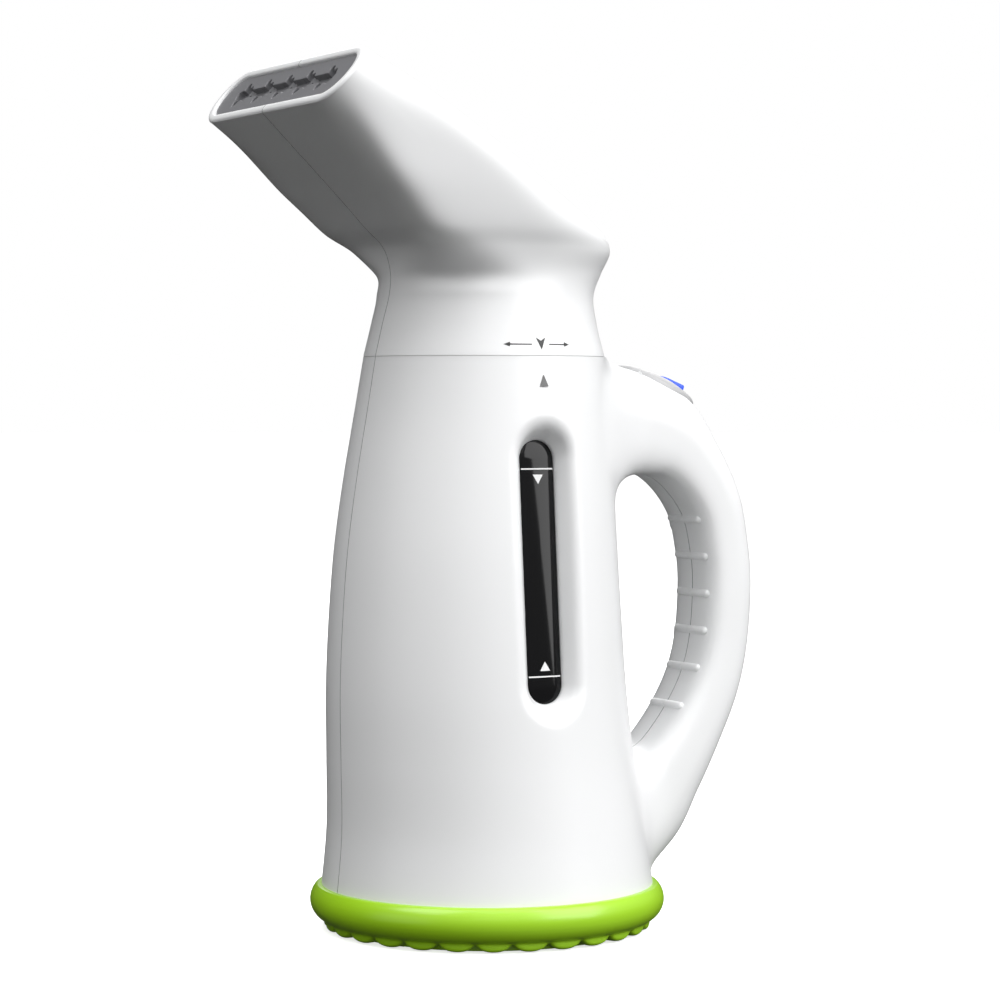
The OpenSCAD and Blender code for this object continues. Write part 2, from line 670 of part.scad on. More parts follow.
// Straight up from the plug, round one bend, then straight to the manifold
module steam_duct() color([0.9, 0.88, 0.85]) {
    foot = duct_foot_z + 1;
    bend_z = duct_corner_z - duct_bend_r * tan(nozzle_tilt / 2);
    out = [0, -sin(nozzle_tilt), cos(nozzle_tilt)];
    bend = [for (i = [0:5]) let (a = nozzle_tilt * i / 5)
        [0, axis_y - duct_bend_r * (1 - cos(a)), bend_z + duct_bend_r * sin(a)]];
    difference() {
        union() {
            tube(concat([[0, axis_y, foot]], bend, [NOZZLE + out * manifold_back]), duct_r, 24);
            at_axis(foot) cylinder(r = 15, h = 2.4);
        }
        tube(concat([[0, axis_y, foot - 1]], bend, [NOZZLE + out * (manifold_back + 1)]),
            duct_r - duct_wall, 24);
    }
}

module nozzle_manifold() color([0.85, 0.83, 0.8]) at_nozzle() difference() {
    union() {
        translate([0, 0, manifold_back]) stadium(manifold_half, 5.8, -4 - manifold_back);
        translate([0, 0, manifold_back]) cylinder(r = duct_r, h = 3);
    }
    translate([0, 0, manifold_back + 2]) stadium(manifold_half, 4.4, 20);
    translate([0, 0, manifold_back - 1]) cylinder(r = 4.3, h = 5);
}

module manifold_gasket() color(silicone) at_nozzle() translate([0, 0, -4]) difference() {
    stadium(manifold_half, 5.8, 0.8);
    translate([0, 0, -1]) stadium(manifold_half, 4.4, 4);
}

module star(points, r, inner, h) linear_extrude(h)
    polygon([for (i = [0:2 * points - 1]) let (a = 90 + 180 * i / points, q = i % 2 == 0 ? r : inner)
        [q * cos(a), q * sin(a)]]);

module nozzle_plate() color(dark) at_nozzle() difference() {
    translate([0, 0, -plate_t - plate_inset]) stadium(plate_half, plate_r, plate_t);
    translate([0, 0, -plate_inset - 1]) stadium(port_pitch * (port_count - 1) / 2 + 4, 1.1, 3);
    for (i = [0:port_count - 1]) translate([(i - (port_count - 1) / 2) * port_pitch, 0, 0]) {
        translate([0, 0, -plate_inset - 1.4]) star(6, 4.3, 2, 3);
        translate([0, 0, -6]) cylinder(r = 1.2, h = 8);
    }
}

// ---- switch ----

module switch_bezel() color(grey) at_switch() difference() {
    intersection() {
        bezel_outline(0, -8, 18);
        difference() {
            bezel_torus(0);
            bezel_torus(bezel_t);
        }
    }
    translate([-rocker_w / 2 - 0.4, -rocker_half_l - 0.8, -8])
        cube([rocker_w + 0.8, 2 * rocker_half_l + 1.6, 20]);
}

module switch_housing() color([0.15, 0.15, 0.16]) at_switch() difference() {
    intersection() {
        translate([-6.6, -10, -housing_depth]) cube([13.2, 20, housing_depth - 1.6]);
        bezel_outline(-0.6, -housing_depth - 1, 20);
    }
    translate([-rocker_w / 2 - 0.4, -rocker_half_l - 1, -housing_depth + 1.4])
        cube([rocker_w + 0.8, 2 * rocker_half_l + 2, housing_depth + 5]);
    for (z = [pivot_z, arm_z]) translate([-10, 0, z]) rotate([0, 90, 0]) cylinder(r = pin_r, h = 20);
    for (y = [-7, 0, 7]) translate([-1.6, y - 0.4, -housing_depth - 1]) cube([3.2, 0.8, 3]);
}

module switch_terminals() color([0.8, 0.65, 0.35]) at_switch() for (y = [-7, 0, 7])
    translate([-1.55, y - 0.35, -housing_depth - 4]) cube([3.1, 0.7, 6]);

module switch_pin(z) at_switch() translate([-6.5, 0, z]) rotate([0, 90, 0]) cylinder(r = pin_r, h = 13);
module rocker_pin() color(steel) switch_pin(pivot_z);
module contact_pin() color(steel) switch_pin(arm_z);

module rocker() color(blue) at_switch() difference() {
    translate([-rocker_w / 2, 0, 0]) rotate([90, 0, 90]) linear_extrude(rocker_w)
        polygon([[-rocker_half_l, 0.2], [-0.4, 2.7], [rocker_half_l - 0.7, 3.1], [rocker_half_l, -1.6],
            [2, -5.2], [1, -7.2], [-1, -7.2], [-2, -5.2], [-rocker_half_l, -3.6]]);
    translate([-10, 0, pivot_z]) rotate([0, 90, 0]) cylinder(r = pin_r + 0.05, h = 20);
}

module contact_arm() color([0.8, 0.6, 0.3]) at_switch() difference() {
    union() {
        translate([-1.5, -8, arm_z - 1.8]) cube([3, 16, 0.8]);
        translate([-1.5, 0, arm_z]) rotate([0, 90, 0]) cylinder(r = 1.5, h = 3);
    }
    translate([-10, 0, arm_z]) rotate([0, 90, 0]) cylinder(r = pin_r + 0.05, h = 20);
}

body_shell_left();
body_shell_right();
base_ring();
base_cover();
base_screws();
shell_screws();
gauge_lens();
lens_gasket();
water_tank();
tank_collar();
neck_gasket();
heater_plate();
heater_gasket();
heater_screws();
heating_element();
thermostat();
thermostat_screws();
thermal_fuse();
fuse_clip();
terminal_block();
supply_wire();
switch_wire();
neutral_wire();
fuse_wire();
cord_gland();
cord_clamp();
clamp_screws();
switch_bezel();
switch_housing();
switch_terminals();
rocker_pin();
contact_pin();
rocker();
contact_arm();
head_shell_left();
head_shell_right();
bayonet_plug();
spill_baffle();
duct_gasket();
steam_duct();
nozzle_manifold();
manifold_gasket();
nozzle_plate();
head_screws();
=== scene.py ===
"""Looks of the handheld garment steamer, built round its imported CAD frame.

The shells are made smooth here from the sections that the CAD model uses. Shapes are worked
out in millimetres, in the frame of the record, and mesh_piece() turns them into metres.
"""

import json
import math

import bmesh
import bpy
import numpy as np
from mathutils import Matrix, Vector
from mathutils.bvhtree import BVHTree


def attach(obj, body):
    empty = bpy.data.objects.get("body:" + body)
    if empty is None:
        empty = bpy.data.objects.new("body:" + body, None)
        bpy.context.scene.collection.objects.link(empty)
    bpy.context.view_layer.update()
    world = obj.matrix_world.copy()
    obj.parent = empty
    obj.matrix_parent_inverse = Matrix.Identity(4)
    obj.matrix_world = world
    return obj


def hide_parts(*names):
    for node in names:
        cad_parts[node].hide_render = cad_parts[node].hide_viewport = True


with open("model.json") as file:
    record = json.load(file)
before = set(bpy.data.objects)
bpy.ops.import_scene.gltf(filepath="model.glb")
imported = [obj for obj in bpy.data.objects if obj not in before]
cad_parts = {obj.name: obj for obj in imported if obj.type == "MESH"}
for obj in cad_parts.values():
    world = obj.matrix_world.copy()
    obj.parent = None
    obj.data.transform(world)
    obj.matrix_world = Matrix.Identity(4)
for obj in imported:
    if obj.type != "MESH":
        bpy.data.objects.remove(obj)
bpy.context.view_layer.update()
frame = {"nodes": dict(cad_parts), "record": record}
nodes = frame["nodes"]

MM = 0.001
WALL = 2.2
SEAM_HALF = 0.11  # half the gap between left and right shells, at the outside
SEAM_SHUT = -0.1  # the inner edge of the left shell reaches this far and shuts the gap
RING_TOP = 13.1
BODY_TOP = 164.7
HEAD_BOTTOM = 164.8
AXIS_Y = -1  # the collar and the head turn about this line
BODY_CELL = 0.8  # grid of the smooth body shells
SMALL_CELL = 0.28  # grid of the plate and the bezel
ROCKER_CELL = 0.22

# Body sections: height, radius, forward shift of the centre
BODY = [
    (13.1, 47.9, 0),
    (30, 46, 0.5),
    (50, 44.4, 2.3),
    (70, 43.3, 3.6),
    (90, 42.2, 3.9),
    (110, 40.8, 3.7),
    (130, 38.9, 2.8),
    (150, 36.6, 1.6),
    (164.6, 34.7, 1),
]
# Handle sections: y, z, half thickness, half width
HANDLE = [
    (24, 143, 15, 14),
    (40.5, 146.2, 15.8, 14),
    (56, 142.8, 13.9, 13.5),
    (66, 134.4, 10.6, 13),
    (74, 122, 9, 12.6),
    (77.3, 108, 8.5, 12.4),
    (78.2, 96, 8.5, 12.4),
    (76.9, 80, 8.5, 12.4),
    (73.6, 67.4, 8.8, 12.6),
    (67.4, 55, 9.6, 12.8),
    (59, 42.2, 11.4, 13),
    (49, 29.5, 13.4, 13),
    (38, 24, 9, 12),
]
HANDLE_OUT = 2.3  # roundness of the palm side
HANDLE_IN = 4.5  # roundness of the finger side
# Head sections: front y, z, rear y, z, half width, roundness front and rear, stadium share
HEAD = [
    (-35.7, 165, 33.7, 165, 34.7, 2, 2, 0),
    (-33.4, 174.4, 31.4, 174, 32.6, 2, 2, 0),
    (-31.4, 182, 30, 182, 31.2, 2.1, 2.1, 0),
    (-31, 188.6, 32.2, 188.5, 30.9, 2.4, 2.2, 0),
    (-33.2, 195.3, 33.2, 195, 32.6, 5, 2.6, 0),
    (-38.6, 200.5, 26.8, 201, 35, 9, 3, 0),
    (-44.5, 206.5, 9.6, 211.6, 37.3, 9, 3.6, 0),
    (-52.4, 214.3, -13.8, 225.2, 40, 8, 4.6, 0),
    (-61.2, 222.8, -36.6, 238, 42.8, 6, 5.2, 0.3),
    (-70.9, 232.3, -57.9, 247.7, 45, 5, 5, 1),
]

NOZZLE = (0, -64.4, 240)
NOZZLE_TILT = math.radians(50)
SWITCH = (0, 56.8, 156.7)
SWITCH_TILT = math.radians(-25)
BEZEL_HALF_L, BEZEL_HALF_W = 14.5, 8.6
WINDOW = (41, -1, 105)
WINDOW_LEAN = math.radians(4.6)
GLAND_DIR = (-0.8, 0.6)
GLAND_Z = 26
GLAND_SEAT = 45.95  # the flange stands on a flat this far from the axis of the body
SHELL_SCREWS = [(73.2, 116.2), (74.8, 82), (63.3, 53)]
HEAD_SCREWS = [(17, 190), (-8, 213)]
SCREW_HOLE_R = 2.9
SCREW_SEAT_X = -6
HEAD_SCREW_SEAT_X = -10
BASE_SCREW_RING = 38.5
BASE_SCREW_ANGLES = [math.radians(a) for a in (30, 120, 210, 300)]


# ---- curves and fields, in millimetres ----


def spline(keys, u):
    """Catmull-Rom values through the rows of keys, for u from 0 to 1."""
    keys = np.asarray(keys, float)
    s = np.clip(np.asarray(u, float), 0, 1) * (len(keys) - 1)
    i = np.minimum(s.astype(int), len(keys) - 2)
    t = (s - i)[..., None]
    a, b, c, d = (keys[np.clip(i + k, 0, len(keys) - 1)] for k in (-1, 0, 1, 2))
    cubic = 3 * b - a - 3 * c + d
    return (2 * b + (c - a) * t + (2 * a - 5 * b + 4 * c - d) * t**2 + cubic * t**3) / 2


def join(a, b, soft):
    """Union of two fields with a fillet."""
    h = np.clip(0.5 + 0.5 * (b - a) / soft, 0, 1)
    return b + (a - b) * h - soft * h * (1 - h)


def cut(a, b, soft):
    """Field a with b taken away, and a rounded edge."""
    return -join(-a, b, soft)


BODY_LINE = spline(BODY, np.linspace(0, 1, 800))
HANDLE_LINE = spline(HANDLE, np.linspace(0, 1, 1500))


def body_section(z):
    """Radius of the body and forward shift of its centre at z."""
    return (np.interp(z, BODY_LINE[:, 0], BODY_LINE[:, i]) for i in (1, 2))


def body_field(x, y, z):
    radius, shift = body_section(z)
    return np.hypot(x, y + shift) - radius


def handle_tangent():
    tangent = np.gradient(HANDLE_LINE[:, :2], axis=0)
    return tangent / np.linalg.norm(tangent, axis=1)[:, None]


class HandleMap:
    """For points of the plane of symmetry: the offset from the handle's centre line, its half
    thickness and half width there, and the distance past its ends."""

    LOW = (-5.0, 5.0)
    HIGH = (96.0, 172.0)
    STEP = 0.5

    def __init__(self):
        line, tangent = HANDLE_LINE, handle_tangent()
        p = line[:, :2]
        ys, zs = (np.arange(a, b, self.STEP) for a, b in zip(self.LOW, self.HIGH))
        self.table = np.zeros((len(ys), len(zs), 4))
        for row, y in enumerate(ys):
            dy = y - p[:, 0][None]
            dz = zs[:, None] - p[:, 1][None]
            near = np.argmin(dy**2 + dz**2, axis=1)
            t = tangent[near]
            dy, dz = y - p[near, 0], zs - p[near, 1]
            along = dy * t[:, 0] + dz * t[:, 1]
            past = np.where(near == 0, -along, np.where(near == len(p) - 1, along, 0))
            out = dz * t[:, 0] - dy * t[:, 1]
            rows = [out, line[near, 2], line[near, 3], np.maximum(past, 0)]
            self.table[row] = np.stack(rows, 1)

    def __call__(self, y, z):
        n, m = self.table.shape[:2]
        i = np.clip((y - self.LOW[0]) / self.STEP, 0, n - 1.001)
        j = np.clip((z - self.LOW[1]) / self.STEP, 0, m - 1.001)
        a, b = i.astype(int), j.astype(int)
        u, v = (i - a)[..., None], (j - b)[..., None]
        t = self.table
        low = t[a, b] * (1 - v) + t[a, b + 1] * v
        high = t[a + 1, b] * (1 - v) + t[a + 1, b + 1] * v
        return np.moveaxis(low * (1 - u) + high * u, -1, 0)


handle_map = HandleMap()
HANDLE_CORE = 0.05  # nearer the centre line than this share, the field is level


def handle_field(x, y, z):
    out, half_t, half_w, past = handle_map(y, z)
    n = np.where(out >= 0, HANDLE_OUT, HANDLE_IN)
    share = (np.abs(x / half_w) ** n + np.abs(out / half_t) ** n) ** (1 / n)
    radial = np.hypot(x, out) * (1 - 1 / np.maximum(share, HANDLE_CORE))
    return np.where(share < HANDLE_CORE, -half_t, radial) + past


def window_place(x, y, z):
    """Across, along and outward distances from the middle of the window."""
    dx, dz = x - WINDOW[0], z - WINDOW[2]
    s, c = math.sin(WINDOW_LEAN), math.cos(WINDOW_LEAN)
    return y - WINDOW[1], dz * c - dx * s, dx * c + dz * s


def switch_place(x, y, z):
    """Across, along and outward distances from the middle of the switch."""
    dy, dz = y - SWITCH[1], z - SWITCH[2]
    s, c = math.sin(SWITCH_TILT), math.cos(SWITCH_TILT)
    return x, dy * c + dz * s, dz * c - dy * s


def lens_outline(across, along):
    """Distance from the outline of the switch bezel, which is made of two arcs."""
    arc = (BEZEL_HALF_L**2 + BEZEL_HALF_W**2) / 2 / BEZEL_HALF_W
    return np.hypot(np.abs(across) + arc - BEZEL_HALF_W, along) - arc


def slot_distance(across, along, half_length):
    return np.hypot(across, along - np.clip(along, -half_length, half_length))


def gland_place(x, y, z):
    """Greater of the sideways and upward distances from the gland's axis, and along it."""
    along = x * GLAND_DIR[0] + y * GLAND_DIR[1]
    aside = x * GLAND_DIR[1] - y * GLAND_DIR[0]
    return np.maximum(np.abs(aside), np.abs(z - GLAND_Z)), along


FILLET = 13  # where the handle meets the body
POCKET_HALF_W, POCKET_HALF_L, POCKET_DEPTH = 5.6, 9.4, 8  # for the switch
POCKET_RIM = 0.6  # the bezel's outline covers the pocket by this much
POCKET_EDGE = 0.3
# What is taken out round the pocket's floor: half width, half length, lowest and highest
POCKET_WASTE = (7, 10.5, -12, -5)
GLAND_WASTE = (5.6, 30, 42.5)  # half width, and from and to along the gland's axis
LENS_HOLE_R = 5.5
LENS_CORE = 31.4  # half the length of the straight sides of the lens hole
LENS_DEPTH = 7.2
LENS_HOLE_END = 9.3
WINDOW_FLARE = 0.62  # how much the recess widens for each millimetre outwards
WINDOW_SCALE = 0.87  # makes the sloping field of the recess count true distances
WINDOW_CUT = 14
WINDOW_EDGE = 2.6
HOLE_EDGE = 0.7
FLANGE_HALF, GLAND_HALF = 7.15, 5.1  # with the clearance round the gland
GLAND_CUT = 36
FINE_EDGE = 0.2


def body_shape(side):
    """Field of the outside of one body shell."""

    def field(x, y, z):
        f = join(body_field(x, y, z), handle_field(x, y, z), FILLET)
        across, along, out = switch_place(x, y, z)
        pocket = np.maximum(np.abs(across) - POCKET_HALF_W, np.abs(along) - POCKET_HALF_L)
        pocket = np.maximum(pocket, lens_outline(across, along) + POCKET_RIM)
        f = cut(f, np.maximum(pocket, -POCKET_DEPTH - out), POCKET_EDGE)
        if side > 0:
            across, along, out = window_place(x, y, z)
            radius = LENS_HOLE_R + WINDOW_FLARE * np.maximum(out + LENS_DEPTH, 0)
            slot = (slot_distance(across, along, LENS_CORE) - radius) * WINDOW_SCALE
            f = cut(f, np.maximum(slot, -WINDOW_CUT - out), WINDOW_EDGE)
        else:
            for sy, sz in SHELL_SCREWS:
                hole = np.hypot(y - sy, z - sz) - SCREW_HOLE_R
                f = cut(f, np.maximum(hole, x - SCREW_SEAT_X), HOLE_EDGE)
            r, out = gland_place(x, y, z)
            f = cut(f, np.maximum(r - FLANGE_HALF, GLAND_SEAT - out), FINE_EDGE)
            f = cut(f, np.maximum(r - GLAND_HALF, GLAND_CUT - out), FINE_EDGE)
        return f

    return field


def body_waste(side):
    """Mask of the points at the bottoms of the cuts, which are taken out to make them holes."""

    def waste(x, y, z):
        across, along, out = switch_place(x, y, z)
        half_w, half_l, low, high = POCKET_WASTE
        mask = (np.abs(across) < half_w) & (np.abs(along) < half_l) & (out < high) & (out > low)
        mask &= lens_outline(across, along) < -0.4
        if side > 0:
            across, along, out = window_place(x, y, z)
            hole = slot_distance(across, along, LENS_CORE) < LENS_HOLE_R + 1.5
            return mask | (hole & (out < -LENS_HOLE_END))
        r, out = gland_place(x, y, z)
        half, low, high = GLAND_WASTE
        return mask | ((r < half) & (out < high) & (out > low))

    return waste


# ---- surface of a field ----

CORNERS = [(i, j, k) for i in (0, 1) for j in (0, 1) for k in (0, 1)]


def surface(field, low, high, cell, rounds=4):
    """Points and quads of the zero level of field, by surface nets: one point for each cell
    that the surface crosses, then smoothed and drawn back on to the surface."""
    low, high, cell = (np.asarray(v, float) * np.ones(3) for v in (low, high, cell))
    counts = np.ceil((high - low) / cell).astype(int) + 1
    axes = [low[i] + cell[i] * np.arange(counts[i]) for i in range(3)]
    values = np.empty(counts)
    y, z = np.meshgrid(axes[1], axes[2], indexing="ij")
    for i, x in enumerate(axes[0]):
        values[i] = field(np.full_like(y, x), y, z)
    inside = values < 0

    def corner(a, offset):
        return a[tuple(slice(o, n - 1 + o) for o, n in zip(offset, counts))]

    total = sum(corner(inside, c).astype(int) for c in CORNERS)
    mixed = (total > 0) & (total < 8)
    index = np.full(mixed.shape, -1)
    index[mixed] = np.arange(mixed.sum())
    at = np.stack([corner(values, c)[mixed] for c in CORNERS], 1)
    where = np.zeros((len(at), 3))
    hits = np.zeros(len(at))
    for a, ca in enumerate(CORNERS):
        for b, cb in enumerate(CORNERS):
            if b > a and sum(abs(p - q) for p, q in zip(ca, cb)) == 1:
                crossed = (at[:, a] < 0) != (at[:, b] < 0)
                gap = np.where(crossed, at[:, a] - at[:, b], 1)
                t = np.where(crossed, at[:, a] / gap, 0)[:, None]
                where += np.where(crossed[:, None], np.array(ca) * (1 - t) + np.array(cb) * t, 0)
                hits += crossed
    points = low + (np.argwhere(mixed) + where / hits[:, None]) * cell

    quads = []
    for axis in range(3):
        u, v = (axis + 1) % 3, (axis + 2) % 3
        first = np.take(inside, range(counts[axis] - 1), axis)
        second = np.take(inside, range(1, counts[axis]), axis)
        edge = first != second
        for s in (u, v):
            keep = np.zeros(edge.shape[s], bool)
            keep[1:-1] = True
            shape = [1, 1, 1]
            shape[s] = -1
            edge = edge & keep.reshape(shape)
        where_edge = np.argwhere(edge)
        ring = []
        for du, dv in ((0, 0), (1, 0), (1, 1), (0, 1)):
            cell_at = where_edge.copy()
            cell_at[:, u] -= du
            cell_at[:, v] -= dv
            ring.append(index[tuple(cell_at.T)])
        ring = np.stack(ring, 1)
        outward = first[edge]
        quads.append(np.where(outward[:, None], ring, ring[:, ::-1]))
    quads = np.concatenate(quads)

    neighbours = np.concatenate([quads[:, [i, (i + 1) % 4]] for i in range(4)])
    count = np.bincount(neighbours.ravel(), minlength=len(points))[:, None]
    for _ in range(rounds):
        mean = np.zeros_like(points)
        np.add.at(mean, neighbours[:, 0], points[neighbours[:, 1]])
        np.add.at(mean, neighbours[:, 1], points[neighbours[:, 0]])
        points = points * 0.5 + mean / np.maximum(count, 1) * 0.5
        for _ in range(2):
            points = drawn_to(field, points, cell.max())
    return points, quads


def drawn_to(field, points, limit):
    """Points moved along the gradient of field to its zero level."""
    h = 0.02
    value = field(*points.T)
    slope = np.zeros_like(points)
    for i in range(3):
        step = np.zeros(3)
        step[i] = h
        slope[:, i] = (field(*(points + step).T) - field(*(points - step).T)) / (2 * h)
    move = slope * (value / np.maximum((slope**2).sum(1), 0.05))[:, None]
    size = np.linalg.norm(move, axis=1)[:, None]
    return points - move * np.minimum(1, limit / np.maximum(size, 1e-9))


# ---- pieces ----


def mesh_piece(name, points, faces, material, body, replaced=(), slot=None, sharp=40):
    """An object from points in millimetres, riding on a body, with its sharp edges marked."""
    data = bpy.data.meshes.new(name)
    data.from_pydata((np.asarray(points) * MM).tolist(), [], [tuple(f) for f in faces])
    data.validate()
    return finish_piece(name, data, material, body, replaced, slot, sharp)


def finish_piece(name, data, material, body, replaced=(), slot=None, sharp=40):
    data.polygons.foreach_set("use_smooth", [True] * len(data.polygons))
    data.set_sharp_from_angle(angle=math.radians(sharp))
    data.materials.append(material)
    piece = bpy.data.objects.new(name, data)
    bpy.context.scene.collection.objects.link(piece)
    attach(piece, body)
    if replaced:
        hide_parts(*replaced)
    return piece


def from_bmesh(name, bm, *args, **kwargs):
    data = bpy.data.meshes.new(name)
    bm.to_mesh(data)
    bm.free()
    return finish_piece(name, data, *args, **kwargs)


def held(bm):
    """A passing object with bm as its mesh, for modifiers to work on."""
    data = bpy.data.meshes.new("held")
    bm.to_mesh(data)
    bm.free()
    holder = bpy.data.objects.new("held", data)
    bpy.context.scene.collection.objects.link(holder)
    return holder


def released(*holders):
    """The first holder's mesh after its modifiers. The holders are removed."""
    deps = bpy.context.evaluated_depsgraph_get()
    made = bmesh.new()
    made.from_mesh(holders[0].evaluated_get(deps).to_mesh())
    for holder in holders:
        data = holder.data
        bpy.data.objects.remove(holder)
        bpy.data.meshes.remove(data)
    return made


def solidified(bm, thickness):
    """The open surface bm made into a wall of that thickness, inwards, in millimetres."""
    holder = held(bm)
    wall = holder.modifiers.new("wall", "SOLIDIFY")
    wall.thickness = thickness * MM
    wall.offset = -1
    wall.use_quality_normals = True
    return released(holder)


def clip(bm, place, normal):
    """Cuts away what lies beyond a plane, given in millimetres."""
    parts = bm.verts[:] + bm.edges[:] + bm.faces[:]
    bmesh.ops.bisect_plane(
        bm, geom=parts, dist=1e-7, plane_co=Vector(place) * MM, plane_no=normal, clear_outer=True
    )


def net(points, quads):
    """A bmesh of points in millimetres and quads, and its vertices in their order."""
    bm = bmesh.new()
    verts = [bm.verts.new(p * MM) for p in points]
    for q in quads:
        bm.faces.new([verts[i] for i in q])
    return bm, verts


def face_left(bm):
    """Turns the faces of a thin sheet so that they look towards +X."""
    bmesh.ops.recalc_face_normals(bm, faces=bm.faces[:])
    if sum(f.normal.x for f in bm.faces) < 0:
        bmesh.ops.reverse_faces(bm, faces=bm.faces[:])


def circle(x, y, z, r, sides):
    """Points of a circle that faces along X."""
    turn = [2 * math.pi * j / sides for j in range(sides)]
    return [Vector((x, y + r * math.cos(a), z + r * math.sin(a))) for a in turn]


def add_stack(bm, rings, closed=False):
    """Adds the skin through rings of points in millimetres, with both ends capped, or with the
    last ring joined to the first where closed."""
    loops = [[bm.verts.new(p * MM) for p in ring] for ring in rings]
    faces = [] if closed else [bm.faces.new(loops[0]), bm.faces.new(loops[-1][::-1])]
    count = len(loops[0])
    for a, b in zip(loops, loops[1:] + loops[: int(closed)]):
        for j in range(count):
            k = (j + 1) % count
            faces.append(bm.faces.new([a[j], a[k], b[k], b[j]]))
    bmesh.ops.recalc_face_normals(bm, faces=faces)


def paint_seam_shade(bm):
    """Gives the walls of the seam groove a near-black material: painted shade for the shadow deep
    in the narrow gap between the shells.
    """
    for face in bm.faces:
        if all(abs(v.co.x) < 1.2 * SEAM_HALF * MM for v in face.verts):
            face.material_index = 1


LEDGE_IN_R = 31.2
LEDGE_TOP, LEDGE_LOW = 164.3, 162.8
LEDGE_REACH = 89.7  # degrees to either side of across, just short of the seam


def top_ledge(bm, side):
    """A flat lip from the collar to the shell's wall, which shuts the view in behind the head."""
    outside = body_shape(side)
    r = np.linspace(LEDGE_IN_R, 60, 600)
    rings = []
    for a in np.radians(np.linspace(-LEDGE_REACH, LEDGE_REACH, 121)):
        across, along = side * math.cos(a), math.sin(a)
        past = outside(across * r, along * r + AXIS_Y, np.full_like(r, LEDGE_TOP)) > 0
        wall_r = r[np.argmax(past)] - WALL / 2
        top = [(LEDGE_IN_R, LEDGE_TOP), (wall_r, LEDGE_TOP)]
        corners = top + [(wall_r, LEDGE_LOW), (LEDGE_IN_R, LEDGE_LOW)]
        rings.append([Vector((across * q, along * q + AXIS_Y, z)) for q, z in corners])
    add_stack(bm, rings)


SHELL_SPAN_X = (-2.4, 54)  # of the left shell, from past the seam
SHELL_SPAN_Y = (-56, 92)


def body_shell(side, name, material, seam_shade_material):
    """Half of the body and handle as a wall, with its grip ribs and its ledge under the head."""
    span_x = SHELL_SPAN_X if side > 0 else (-SHELL_SPAN_X[1], -SHELL_SPAN_X[0])
    low, high = zip(span_x, SHELL_SPAN_Y, (RING_TOP - 2, BODY_TOP + 2))
    points, quads = surface(body_shape(side), low, high, BODY_CELL)
    bm, verts = net(points, quads)
    waste = body_waste(side)(*points.T)
    bmesh.ops.delete(bm, geom=[v for v, w in zip(verts, waste) if w], context="VERTS")
    clip(bm, (side * SEAM_HALF, 0, 0), (-side, 0, 0))
    clip(bm, (0, 0, RING_TOP), (0, 0, -1))
    clip(bm, (0, 0, BODY_TOP), (0, 0, 1))
    bmesh.ops.recalc_face_normals(bm, faces=bm.faces[:])
    if sum(f.normal.x * side * f.calc_area() for f in bm.faces) < 0:
        bmesh.ops.reverse_faces(bm, faces=bm.faces[:])
    count = len(bm.verts)
    bm.verts.index_update()
    seam = [v.index for v in bm.verts if abs(v.co.x / MM - side * SEAM_HALF) < 1e-3]
    bm = solidified(bm, WALL)
    bm.verts.ensure_lookup_table()
    for i in seam:
        bm.verts[count + i].co.x = (SEAM_SHUT if side > 0 else -SEAM_HALF) * MM
    paint_seam_shade(bm)
    grip_ribs(bm, side)
    top_ledge(bm, side)
    made = from_bmesh(name + "_smooth", bm, material, "base", [name], "shell_white", sharp=50)
    made.data.materials.append(seam_shade_material)
    return made


RIB_TOP_Z = 116.8
RIB_PITCH = 11
RIB_COUNT = 6
RIB_R = 1.25
RIB_HALF = 7.7
RIB_SINK = 0.35  # how far a rib's centre line lies under the surface
RIB_SIDES = 20
GRIP_SPAN = range(300, 1300)  # the rows of the handle's line that the fingers reach


def capsule_lines(r, steps):
    """Radius and distance along a quarter round end."""
    return [(r * math.cos(a), r * math.sin(a)) for a in np.linspace(0, math.pi / 2, steps)]


def grip_ribs(bm, side):
    """Half of each rib on the finger side of the handle, bent to follow its surface."""
    line, tangent = HANDLE_LINE, handle_tangent()
    palm = np.stack([-tangent[:, 1], tangent[:, 0]], 1)
    inner = line[:, :2] - palm * line[:, 2:3]
    for i in range(RIB_COUNT):
        k = min(GRIP_SPAN, key=lambda k: abs(inner[k, 1] - (RIB_TOP_Z - i * RIB_PITCH)))
        half_t, half_w = line[k, 2:4]
        stations = [(x, x, RIB_R) for x in np.linspace(SEAM_HALF, RIB_HALF, 8)]
        stations += [(RIB_HALF + h, RIB_HALF, r) for r, h in capsule_lines(RIB_R, 7)[1:-1]]
        rings = []
        for x, foot, r in stations:
            depth = half_t * (1 - (foot / half_w) ** HANDLE_IN) ** (1 / HANDLE_IN) - RIB_SINK
            y, z = line[k, :2] - palm[k] * depth
            rings.append(circle(side * x, y, z, r, RIB_SIDES))
        add_stack(bm, rings)


# ---- head ----


def power(v, n):
    """A cosine or sine bent for the outline of a superellipse."""
    return np.sign(v) * np.abs(v) ** (2 / n)


